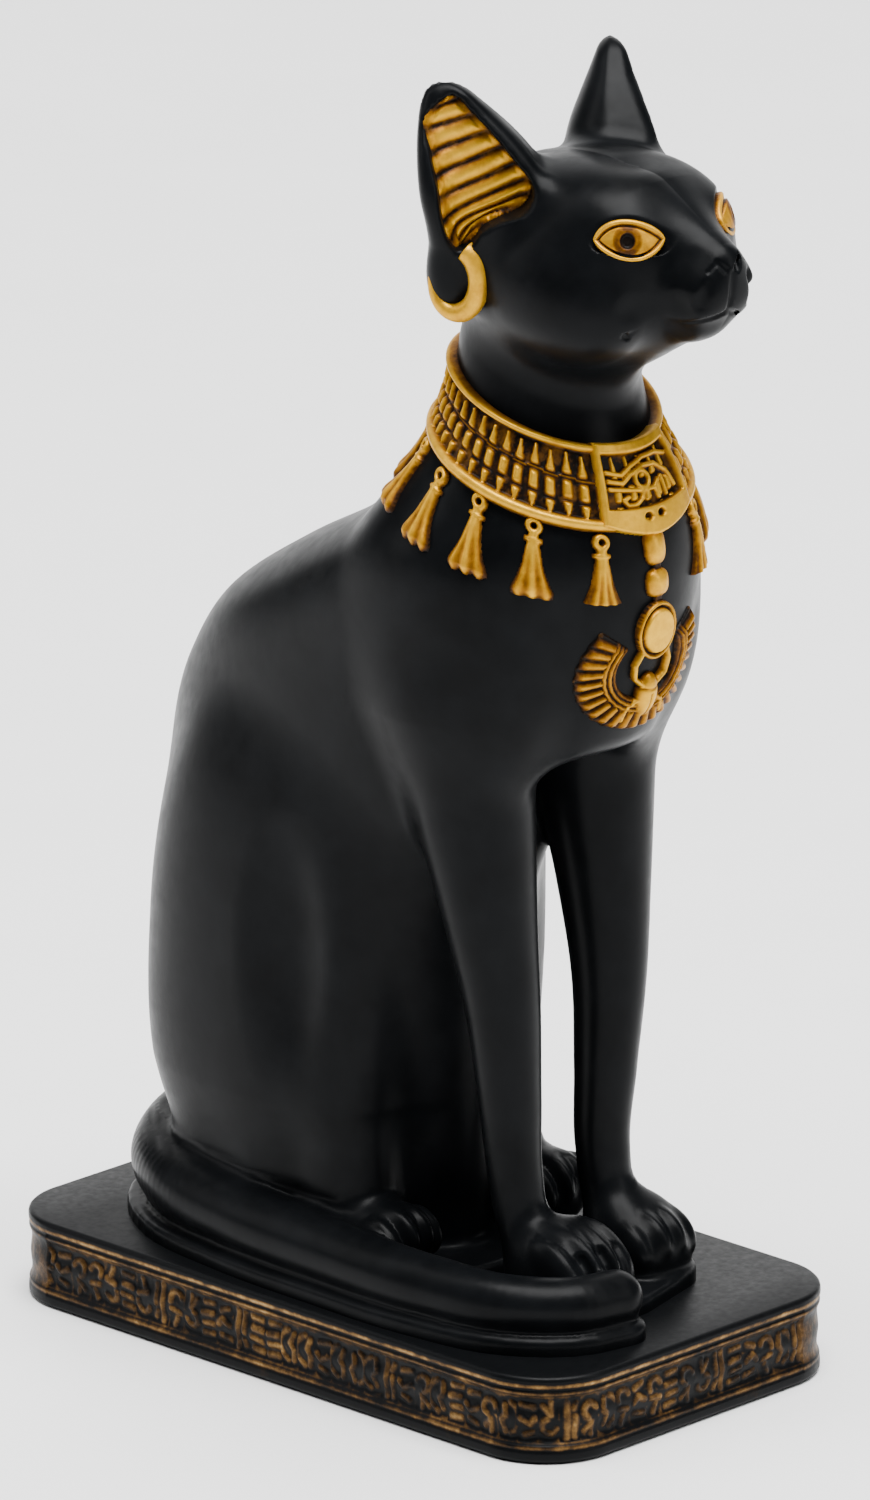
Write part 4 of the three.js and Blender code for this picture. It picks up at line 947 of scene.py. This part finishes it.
# Tassels on rings below the collar, by angle round the neck from the front; some hang a little lower
TASSEL_ANGLES = {"right": [26, 54, 78, 101, 126, 151], "left": [35, 60, 84, 106, 128, 152]}
TASSEL_REACH, TASSEL_DOWN = 4.4, (1.0, 2.1)
TASSEL_TOP, TASSEL_LENGTH = 2.1, 11.6
TASSEL_ARM = 26.5  # how far the tassels hang from the neck's axis
NECK_PLACE, NECK_HALF, NECK_WIDE = 3.0, 0.45, 1.5
LOOP_PLACE, LOOP_RADIUS, LOOP_THICK = 1.0, 0.85, 0.55
FOLD_DEPTH = 0.22
LOW_HUNG, LOW_DROP, PLAIN_DROP = (0, 3, 4), 0.8, 0.2
tassel_half = curve((2.0, 0.85), (3.2, 1.0), (5, 1.35), (7, 1.8), (9, 2.6), (10.6, 3.3), (11.6, 3.3))
tassel_rise = curve((2.0, 1.0), (4, 1.1), (8, 1.3), (10.6, 1.5), (11.6, 1.2))


def make_tassel(name, angle, flutes, hang):
    def rays(u, v):
        return collar_rays(angle + np.degrees(u / TASSEL_ARM), v)

    patch = base_patch(rays, (-TASSEL_REACH, TASSEL_REACH), TASSEL_DOWN, RELIEF_STEP, (18, 14))
    gone, aside = half_row(patch)
    t, side = gone - hang, aside * np.sign(patch[0])
    half = tassel_half(t)
    fluting = 0.5 - 0.5 * np.cos(side / np.maximum(half, 0.3) * math.pi * flutes)
    folds = 1 - FOLD_DEPTH * fluting * np.clip((t - 4) / 4, 0, 1)
    end = np.sqrt(np.clip((TASSEL_LENGTH + 0.25 * np.cos(side * 3.1) - t) / 0.9, 0, 1))
    body_form = np.where(t > TASSEL_TOP, dome(side / half) * folds * end, 0)
    neck = dome((t - NECK_PLACE) / NECK_HALF) * dome(side / NECK_WIDE)
    from_loop = np.hypot(side, t - LOOP_PLACE)
    loop = dome((from_loop - LOOP_RADIUS) / LOOP_THICK)
    height = np.maximum(body_form * tassel_rise(t), np.maximum(1.15 * neck, loop))
    shape = np.maximum(np.maximum(body_form, neck), loop)
    height = np.where(shape > 0.02, height, BURIED)
    wear_and_shade = np.clip(0.12 + 0.75 * shape * folds ** 2.5 - 0.5 * dome((from_loop - 0.1) / 0.5), 0, 1)
    relief(name, patch, height, wear_and_shade, GOLD)


# The counterpoise at the nape: a tab that widens downwards between two places below the collar's top
TAB_REACH, TAB_DOWN = 6.5, (0.92, 1.85)
TAB_ARM = 16
TAB_TOP, TAB_FOOT = 0.94, 1.76
TAB_HALF, TAB_FLARE = 2.6, 2.4
TAB_PROUD, TAB_BANDS, BAND_DEPTH = 2.4, 5, 0.15


def make_counterpoise():
    def rays(u, v):
        return collar_rays(180 + np.degrees(u / TAB_ARM), v)

    patch = base_patch(rays, (-TAB_REACH, TAB_REACH), TAB_DOWN, RELIEF_STEP, (14, 14))
    v, side = patch[1], half_row(patch)[1]
    share = (v - 0.98) / 0.77
    half = TAB_HALF + TAB_FLARE * np.clip(share, 0, 1)
    inside = np.minimum(half - side, np.minimum(v - TAB_TOP, TAB_FOOT - v) / 0.1)
    form = np.sqrt(np.clip(inside, 0, 1))
    bands = BAND_DEPTH * (np.cos(share * 2 * math.pi * TAB_BANDS) > 0.55)
    height = np.where(form > 0.02, TAB_PROUD * form - bands, BURIED)
    relief("collar_counterpoise", patch, height, form, BLACK)


# The pendant: two links, a rimmed disc and a winged scarab on the breast, by x and height
LINKS = ((118.6, 2.0, 2.9), (113.2, 2.15, 2.15))  # middle, half width and half height
NECK_HALF_WIDTH, NECK_HALF_HEIGHT = 0.7, 0.6
LINK_NECKS = (115.4, 110.9)
DISC_CENTRE, DISC_HIGH, DISC_SLIM = 106.1, 4.4, 0.84
WING_CENTRE, WING_INNER, WING_OUTER, WING_SLIM = 100.6, 5.2, 10.4, 0.86
WING_SPREAD = 130
FEATHERS = 34
SCARAB_MIDDLE, SCARAB_HALF_WIDTH, SCARAB_HALF_HEIGHT = 95.8, 2.1, 3.6
SCARAB_NECK = 97.2
SCARAB_LEGS = ([(1.2, 97.6), (3.0, 99.0), (3.3, 101.2), (2.5, 102.8)],
               [(1.8, 95.4), (3.4, 94.6), (3.8, 92.6)])


def make_pendant():
    def rays(x, z):
        return np.stack([x, 0 * x - 90, z], 1), np.broadcast_to((0.0, 1.0, 0.0), (len(x), 3))

    patch = base_patch(rays, (-13, 13), (122, 89), RELIEF_STEP * 0.85, (28, 24))
    x, z, _, _ = patch
    height, wear_and_shade = np.full(x.shape, BURIED), np.zeros(x.shape)

    def add(shape, rise, shine):
        nonlocal height, wear_and_shade
        higher = (shape > 0.02) & (rise > height)
        height = np.where(higher, rise, height)
        wear_and_shade = np.where(higher, shine, wear_and_shade)

    radius = np.hypot(WING_SLIM * x, z - WING_CENTRE)
    turn = np.degrees(np.arctan2(WING_SLIM * x, WING_CENTRE - z))
    feather = np.abs(np.sin(np.radians(turn * FEATHERS / 2)))
    span = (radius - WING_INNER) / (WING_OUTER - 0.25 * feather - WING_INNER)
    inside = np.minimum(np.minimum(span, 1 - span) * 6, (1 - np.abs(turn) / WING_SPREAD) * 14)
    wing = np.sqrt(np.clip(inside, 0, 1))
    bands = np.where(span < 0.4, dome((np.mod(span * 7.5, 1) - 0.5) / 0.42), feather ** 0.8)
    add(wing, wing * (0.4 + 0.8 * bands), 0.6 * bands * wing)
    for link, half_wide, half_high in LINKS:
        oval = dome((np.abs(x / half_wide) ** 3 + np.abs((z - link) / half_high) ** 3) ** (1 / 3))
        add(oval, 1.5 * oval, 0.3 + 0.6 * oval)
    for place in LINK_NECKS:
        add(dome(x / NECK_HALF_WIDTH) * (np.abs(z - place) < NECK_HALF_HEIGHT), 0.6 + 0 * x, 0.2 + 0 * x)
    scarab = dome(np.hypot(x / SCARAB_HALF_WIDTH, (z - SCARAB_MIDDLE) / SCARAB_HALF_HEIGHT))
    split = plateau(np.abs(x) - 0.12, 0.25) * (z < SCARAB_NECK - 0.6)
    split = split + plateau(np.abs(z - SCARAB_NECK - 0.1 * x * x) - 0.1, 0.3)
    add(scarab, 1.9 * scarab - 0.35 * split, 0.3 + 0.6 * scarab - 0.5 * split)
    for side in (-1, 1):
        for leg in SCARAB_LEGS:
            line = dome(line_distance(x, z, [(side * a, b) for a, b in leg]) / 0.4)
            add(line, 1.15 * line, 0.35 + 0.5 * line)
    disc = np.hypot(x / DISC_SLIM, z - DISC_CENTRE) / DISC_HIGH
    rim = dome((disc - 0.92) / 0.085)
    middle = plateau((disc - 0.76) * DISC_HIGH, 0.5)
    face = plateau((disc - 0.98) * DISC_HIGH, 0.3)
    add(face, np.maximum(0.5 * face, 0.5 + np.maximum(0.7 * rim, middle)),
        np.maximum(0.04, np.maximum(0.75 * rim, 0.9 * middle)))
    relief("breast_pendant", patch, height, wear_and_shade, GOLD)


# An eye: an almond rim round a rounded ball with a drilled pupil
EYE_SIDE, EYE_Y, EYE_Z, EYE_TURN = 9.3, -50.7, 167.4, 44
EYE_LONG, EYE_HIGH = 5.2, 3.0
EYE_RIM = 0.40
EYE_SUNK, EYE_SWELL, SWELL_REACH = 0.45, 0.7, 4.6
EYE_LEAN = 0.6  # how far the almond's upper and lower halves lean apart
PUPIL_ASIDE, PUPIL_RADIUS, PUPIL_DEPTH = 0.30, 0.98, 0.7
IRIS_RADIUS, IRIS_HALF = 1.5, 0.6


def make_eye(name, side):
    turn = math.radians(EYE_TURN)
    out = np.array([side * math.sin(turn), -math.cos(turn), 0])
    along = np.array([side * math.cos(turn), math.sin(turn), 0])

    def rays(u, v):
        middle = np.array([EYE_SHIFT + side * EYE_SIDE, EYE_Y, EYE_Z])
        start = middle + u[:, None] * along + v[:, None] * (0, 0, 1) + 20 * out
        return start, np.broadcast_to(-out, start.shape)

    patch = base_patch(rays, (-6.4, 6.4), (-4.6, 4.6), RELIEF_STEP * 0.7, (14, 18))
    u, v, _, _ = patch
    lean = EYE_LEAN * np.tanh(v) * (1 - np.clip(np.abs(u) / EYE_LONG, 0, 1) ** 2)
    share = np.clip(np.abs(u - lean) / EYE_LONG, 0, 1)
    edge = EYE_HIGH * (1 - share ** 2) ** 0.6
    outline = (np.abs(v) - edge) / np.sqrt(1 + (1.1 * share) ** 2)
    outline = np.where(np.abs(u) > EYE_LONG, np.hypot(np.abs(u) - EYE_LONG, v), outline)
    rim = dome((outline + EYE_RIM) / EYE_RIM)
    ball = plateau(outline + 2.6 * EYE_RIM, 0.3)
    pupil = np.hypot(u - PUPIL_ASIDE, v)
    hole = plateau(pupil - PUPIL_RADIUS, 0.5)
    swell = 0.1 + EYE_SWELL * np.clip(1 - (pupil / SWELL_REACH) ** 2, 0, 1)
    height = np.maximum(0.6 * rim, ball * swell) - EYE_SUNK - PUPIL_DEPTH * hole
    height = np.where(outline < 0.05, height, BURIED)
    # The rim is rubbed gold; the ball is painted lightest just above its middle and darker towards its top
    # and bottom, a painted shading of its round form.
    wear_and_shade = np.maximum(0.2 + 0.6 * rim, ball * (0.72 - 0.08 * np.abs(v - 0.4)))
    wear_and_shade = np.clip(wear_and_shade - 0.9 * hole - 0.3 * dome((pupil - IRIS_RADIUS) / IRIS_HALF), 0, 1)
    relief(name, patch, height, wear_and_shade, GOLD)


# The ribbed lining of an ear, and the ring round its lobe, which tapers from its front end to its back end
RIB_TOP, RIB_RISE = 181.6, 1.7
RIB_PITCH, PITCH_CHANGE = 3.28, -1.02
LINING_TOP, LINING_FOOT = 185.2, 162.0
RING_CENTRE = (4.9, 31.2, 158.1)
RING_TILT, RING_ACROSS, RING_UP, RING_THICK = 0.45, 3.3, 4.9, 1.5
RING_ANGLES = np.radians(np.linspace(66, -186, 60))
RING_TAPER = np.interp(np.linspace(0, 1, 60), (0, 0.55, 0.8, 1), (1.05, 1.0, 0.75, 0.45))
RING_SIDES = 20
RING_WEAR = 0.8


def ear_point(side, across, out, z):
    return np.stack([side * (out - across) / (2 * EAR_COS), -(out + across) / (2 * EAR_SIN), z + 0 * out], -1)


def make_ear_lining(name, side):
    rows, columns = int(25 / RELIEF_STEP), int(18 / RELIEF_STEP)
    across, z = np.meshgrid(np.linspace(-0.5, 17.5, columns), np.linspace(186, 161.5, rows))
    low, high = HOLLOW_OUTER(z), HOLLOW_INNER(z)
    aside = np.clip(np.abs(across - (low + high) / 2) / np.maximum((high - low) / 2, 0.1), 0, 0.97)
    sunk = HOLLOW_DEPTH * EAR_DEPTH(z) * (1 - aside ** HOLLOW_POWER) ** (1 / HOLLOW_POWER)
    out = EAR_MIDDLE(z) + EAR_DEPTH(z) - sunk
    points = ear_point(side, across.ravel(), out.ravel(), z.ravel()).reshape(rows, columns, 3)
    normals = unit(side * np.cross(np.gradient(points, axis=1), np.gradient(points, axis=0)))
    patch = across, z, points, normals
    middle = np.clip((across - low) / np.maximum(high - low, 0.5), 0, 1)
    phase = (RIB_TOP + RIB_RISE * middle - z) / (RIB_PITCH + PITCH_CHANGE * middle)
    roll = np.abs(np.sin(math.pi * (phase + 0.5)))
    from_ends = np.minimum(z - LINING_FOOT, LINING_TOP - z)
    edge = np.minimum(np.minimum(across - low + 0.4, high - 0.1 - across), from_ends)
    inside = np.clip(edge / 1.6, 0, 1) ** 0.7
    height = np.where(edge > 0, 0.1 + 0.85 * roll ** 0.6 * inside, BURIED)
    # Rubbed gold on the rib crests and a dark wash between them; towards the lining's edges under the rim the
    # gold is also painted darker, a painted shade.
    wear_and_shade = np.clip(0.1 + 0.8 * roll ** 1.1, 0, 1) * (0.6 + 0.4 * inside)
    relief(name, patch, height, wear_and_shade, GOLD)


def make_ear_ring(name, side):
    """A round bar along an open ring that stands at a slant."""
    across = RING_ACROSS * np.cos(RING_ANGLES)
    middle, out, z = RING_CENTRE
    path = ear_point(side, middle + across, out + RING_TILT * across, z + RING_UP * np.sin(RING_ANGLES))
    up = ear_point(side, np.zeros(1), np.ones(1), np.zeros(1))[0]
    ahead = unit(np.gradient(path, axis=0))
    aside = unit(np.cross(up, ahead))
    lift = np.cross(ahead, aside)
    turn = np.linspace(0, 2 * math.pi, RING_SIDES, endpoint=False)[None, :, None]
    circle = np.cos(turn) * aside[:, None] + np.sin(turn) * lift[:, None]
    points = path[:, None] + RING_THICK * RING_TAPER[:, None, None] * circle
    number = np.arange(points.size // 3).reshape(-1, RING_SIDES)
    quads = grid_quads(number, np.roll(number, -1, 1))
    ends = [number[0][::-1].tolist(), number[-1].tolist()]
    wear_and_shade_level = np.full(number.size, RING_WEAR)
    make_piece(name, points.reshape(-1, 3), quads, GOLD, wear_and_shade=wear_and_shade_level, more_faces=ends)


make_collar()
make_plaque()
make_counterpoise()
make_pendant()
for side, label in ((-1, "right"), (1, "left")):
    make_eye(f"eye_{label}", side)
    make_ear_lining(f"ear_lining_{label}", side)
    make_ear_ring(f"ear_ring_{label}", side)
    for number, angle in enumerate(TASSEL_ANGLES[label]):
        drop = LOW_DROP if number in LOW_HUNG else PLAIN_DROP
        make_tassel(f"tassel_{label}_{number + 1}", side * angle, 3 if number else 4, drop)

# The plinth: rounded corners, a worn top edge, and a frieze of raised strokes that are no letters
FOOT_BEVEL = 0.3
FRIEZE_TOP, FRIEZE_HIGH = 3.2, 7.2  # its field's top edge below the plinth's top, and its height
FRIEZE_FOOT = FRIEZE_TOP + FRIEZE_HIGH
MARK_PITCH = 3.4
STROKE_HALF, STROKE_PROUD = 0.36, 0.35
plinth_profile = curve((0, 0.06), (0.6, 0.0), (1.3, 0.0), (1.75, 0.15), (2.0, 0.42), (2.3, 0.25), (2.6, 0.15),
                       (2.9, 0.35), (3.2, 0.6), (6.7, 0.62), (10.4, 0.6), (10.8, 0.25), (11.05, 0.15),
                       (11.35, 0.3), (11.6, 0.1), (12, 0.03), (13.5, 0.06))


def plinth_outline(count):
    """Places along the plinth's outline with their points and outward directions, and its length."""
    half = np.array(PLINTH_SIZE) / 2 - PLINTH_CORNER
    quarter = math.pi / 2 * PLINTH_CORNER
    knots = np.r_[0, np.cumsum([2 * half[1], quarter, 2 * half[0], quarter] * 2)]
    along = np.linspace(0, knots[-1], count, endpoint=False)
    turn = math.pi / 2 * np.interp(along, knots, (0, 0, 1, 1, 2, 2, 3, 3, 4))
    outward = np.stack([np.cos(turn), np.sin(turn)], 1)
    side_x = np.interp(along, knots, (1, 1, 1, -1, -1, -1, -1, 1, 1))
    side_y = np.interp(along, knots, (-1, 1, 1, 1, 1, -1, -1, -1, -1))
    return along, half * np.stack([side_x, side_y], 1) + PLINTH_CORNER * outward, outward, knots[-1]


FRIEZE_MARKS = [
    [[(-0.6, -2.8), (-0.6, 2.8)], [(0.7, -2.6), (0.7, 0.4)], [(0.5, 1.6), (0.9, 2.4)]],
    [arc((0, 1.3), 1.1, 0, 360, 13), [(-1.0, -2.6), (0.9, -1.0)]],
    [[(-1.2, 2.3), (0.9, 2.0)], [(-1.1, 0.2), (0.4, -0.6), (1.2, 0.3)], [(-0.6, -2.4), (0.8, -1.9)]],
    [arc((0, -0.9), 1.2, 200, 430), [(-0.2, 2.7), (-0.2, 0.9), (1.0, 2.2)]],
    [arc((0, 1.2), 1.2, 20, 200, 7), [(-0.9, -0.4), (0.9, -0.8)], [(0.2, -1.6), (-0.3, -2.7)]],
    [arc((0.3, 0), 2.5, 110, 250), [(0.6, 1.8), (0.2, 0.4), (0.9, -0.5), (0.5, -2.2)]],
    [[(-1.1, 2.5), (0.9, 2.3)], [(-0.9, 0.9), (1.1, 0.7)], [(-1.1, -0.7), (0.8, -0.9)],
     [(-0.9, -2.4), (1.1, -2.5)]],
]


def frieze_marks(along, up, length):
    """Distance to the nearest raised stroke in the frieze; up runs from 0 to 1 in its field."""
    pitch = length / round(length / MARK_PITCH)
    cell = np.floor(along / pitch)
    kind = np.floor(len(FRIEZE_MARKS) * scatter(cell, 3))
    u = (along - (cell + 0.5) * pitch) * np.where(scatter(cell, 4) > 0.5, 1, -1)
    v = (up - 0.5) * FRIEZE_HIGH * np.where(scatter(cell, 5) > 0.5, 1, -1)
    nearest = np.full(u.shape, float(FAR))
    for n, lines in enumerate(FRIEZE_MARKS):
        here = kind == n
        nearest[here] = np.minimum.reduce([line_distance(u[here], v[here], line) for line in lines])
    return nearest


def make_plinth():
    count, levels = ((1500, 56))
    along, outline, outward, length = plinth_outline(count)
    a, d = np.meshgrid(along, np.linspace(PLINTH_EDGE, PLINTH_HEIGHT - PLINTH_EDGE, levels))
    up = (FRIEZE_FOOT - d) / FRIEZE_HIGH
    corner_part = outward[:, 0] * outward[:, 1] < -0.12  # two opposite corners have no strokes
    field = (up > 0.02) & (up < 0.98) & ~corner_part
    mark = frieze_marks(a, np.clip(up, 0, 1), length)
    stroke = plateau(mark - STROKE_HALF, 0.6) * field
    inset = plinth_profile(d)
    inset = np.where(corner_part, 0.5 * inset, inset - STROKE_PROUD * stroke)
    wear_and_shade = 0.42 + 0.12 * stroke - 0.34 * dome((mark - 0.95) / 0.45) * field
    top_edge = 0.08 + 0.75 * dome((d - 1.45) / 0.4) + 0.6 * dome((d - 2.65) / 0.3)
    wear_and_shade = np.where(d < 3.1, top_edge, wear_and_shade)
    wear_and_shade = np.where(d > 10.5, 0.12 + 0.5 * dome((d - 11.1) / 0.35), wear_and_shade)
    wear_and_shade = np.clip(np.where(d > 11.6, 0.1, wear_and_shade), 0, 1)
    sides = np.concatenate([outline - outward * inset[..., None], -d[..., None]], -1)

    def ring(shift, height):
        return np.concatenate([outline - outward * shift, np.full((count, 1), height)], 1)

    flat = plinth_profile(PLINTH_EDGE)
    top = []
    for turn in np.radians((90, 60, 30)):
        top.append(ring(flat + PLINTH_EDGE * (1 - math.cos(turn)), PLINTH_EDGE * (math.sin(turn) - 1)))
    foot = np.stack([ring(FOOT_BEVEL, FOOT_BEVEL - PLINTH_HEIGHT), ring(PLINTH_EDGE, -PLINTH_HEIGHT)])
    grid = np.concatenate([top, sides, foot])
    wear_and_shade = np.concatenate([np.full((3, count), 0.02), wear_and_shade, np.full((2, count), 0.02)])
    number = np.arange(grid.shape[0] * count).reshape(-1, count)
    quads = grid_quads(number, np.roll(number, -1, 1))[:, (0, 3, 2, 1)]
    ends = [number[0].tolist(), number[-1][::-1].tolist()]
    points = grid.reshape(-1, 3)
    piece = make_piece("plinth_block", points, quads, BRONZE, wear_and_shade=wear_and_shade, more_faces=ends)
    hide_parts("plinth")


make_plinth()

# Floor and lamps, in metres
FLOOR_REACH = 3.0
FLOOR_GREYS = ((0.3, (0.86, 0.86, 0.86)), (0.7, (0.88, 0.88, 0.88)))
FLOOR_ROUGHNESS = 0.7
AIM_HEIGHT = 0.09
# Azimuth, elevation and distance from the figure's middle, size and power of each lamp
LAMPS = {
    "softbox_above": (-20, 80, 2.5, (2.0, 2.0), 230),
    "backdrop": (134, 22, 2.2, (3.2, 2.0), 36),
    "softbox_left": (-140, 35, 0.9, (0.3, 0.9), 2.5),
    "softbox_right": (20, 30, 1.0, (0.3, 0.9), 3),
}
WORLD_STRENGTH = 0.05


def add_floor():
    mesh = bpy.data.meshes.new("floor")
    corners = [(FLOOR_REACH * a, FLOOR_REACH * b, 0) for a, b in ((-1, -1), (1, -1), (1, 1), (-1, 1))]
    mesh.from_pydata(corners, [], [(0, 1, 2, 3)])
    n = Nodes("pale_floor")
    grey = n.ramp(n.noise(40, 2), *FLOOR_GREYS)
    mesh.materials.append(n.finish(Base_Color=grey, Roughness=FLOOR_ROUGHNESS))
    put_in_scene("floor", mesh)


def direction(azimuth, elevation):
    """The way out from the object: azimuth 0 is in front of the cat and -90 at its right side."""
    a, e = math.radians(azimuth), math.radians(elevation)
    return Vector((math.sin(a) * math.cos(e), -math.cos(a) * math.cos(e), math.sin(e)))


def add_lamp(name, azimuth, elevation, distance, size, power):
    light = bpy.data.lights.new(name, "AREA")
    light.shape = "RECTANGLE"
    light.size, light.size_y = size
    light.energy = power
    lamp = put_in_scene(name, light)
    back = direction(azimuth, elevation)
    lamp.location = Vector((0, 0, AIM_HEIGHT)) + distance * back
    lamp.rotation_euler = back.to_track_quat("Z", "Y").to_euler()


def add_world():
    world = bpy.data.worlds.new("studio")
    world.use_nodes = True
    background = world.node_tree.nodes["Background"]
    background.inputs["Color"].default_value = (1.0, 1.0, 1.0, 1)
    background.inputs["Strength"].default_value = WORLD_STRENGTH
    bpy.context.scene.world = world


add_floor()
for name, lamp in LAMPS.items():
    add_lamp(name, *lamp)
add_world()

# The camera stands where the photo was taken from; the photo is 1500 pixels high.
PHOTO_SIZE = (870, 1500)
CAMERA_AZIMUTH, CAMERA_ELEVATION = -45.855, 17.817
CAMERA_DISTANCE, CAMERA_FOCUS = 2204.0, 14955.0  # mm, and pixels of the photo
CAMERA_TARGET = 91.04  # height above the floor of the point that it faces
PHOTO_MIDDLE = (421.734, 747.158)  # where the photo shows that point


def add_camera():
    data = bpy.data.cameras.new("camera")
    data.sensor_fit = "AUTO"
    data.sensor_width = 36
    data.lens = CAMERA_FOCUS / PHOTO_SIZE[1] * data.sensor_width
    data.shift_x = (PHOTO_SIZE[0] / 2 - PHOTO_MIDDLE[0]) / PHOTO_SIZE[1]
    data.shift_y = (PHOTO_MIDDLE[1] - PHOTO_SIZE[1] / 2) / PHOTO_SIZE[1]
    data.clip_end = 20
    camera = put_in_scene("camera", data)
    back = direction(CAMERA_AZIMUTH, CAMERA_ELEVATION)
    camera.location = Vector((0, 0, CAMERA_TARGET * MM)) + back * CAMERA_DISTANCE * MM
    camera.rotation_euler = back.to_track_quat("Z", "Y").to_euler()
    bpy.context.scene.camera = camera


add_camera()
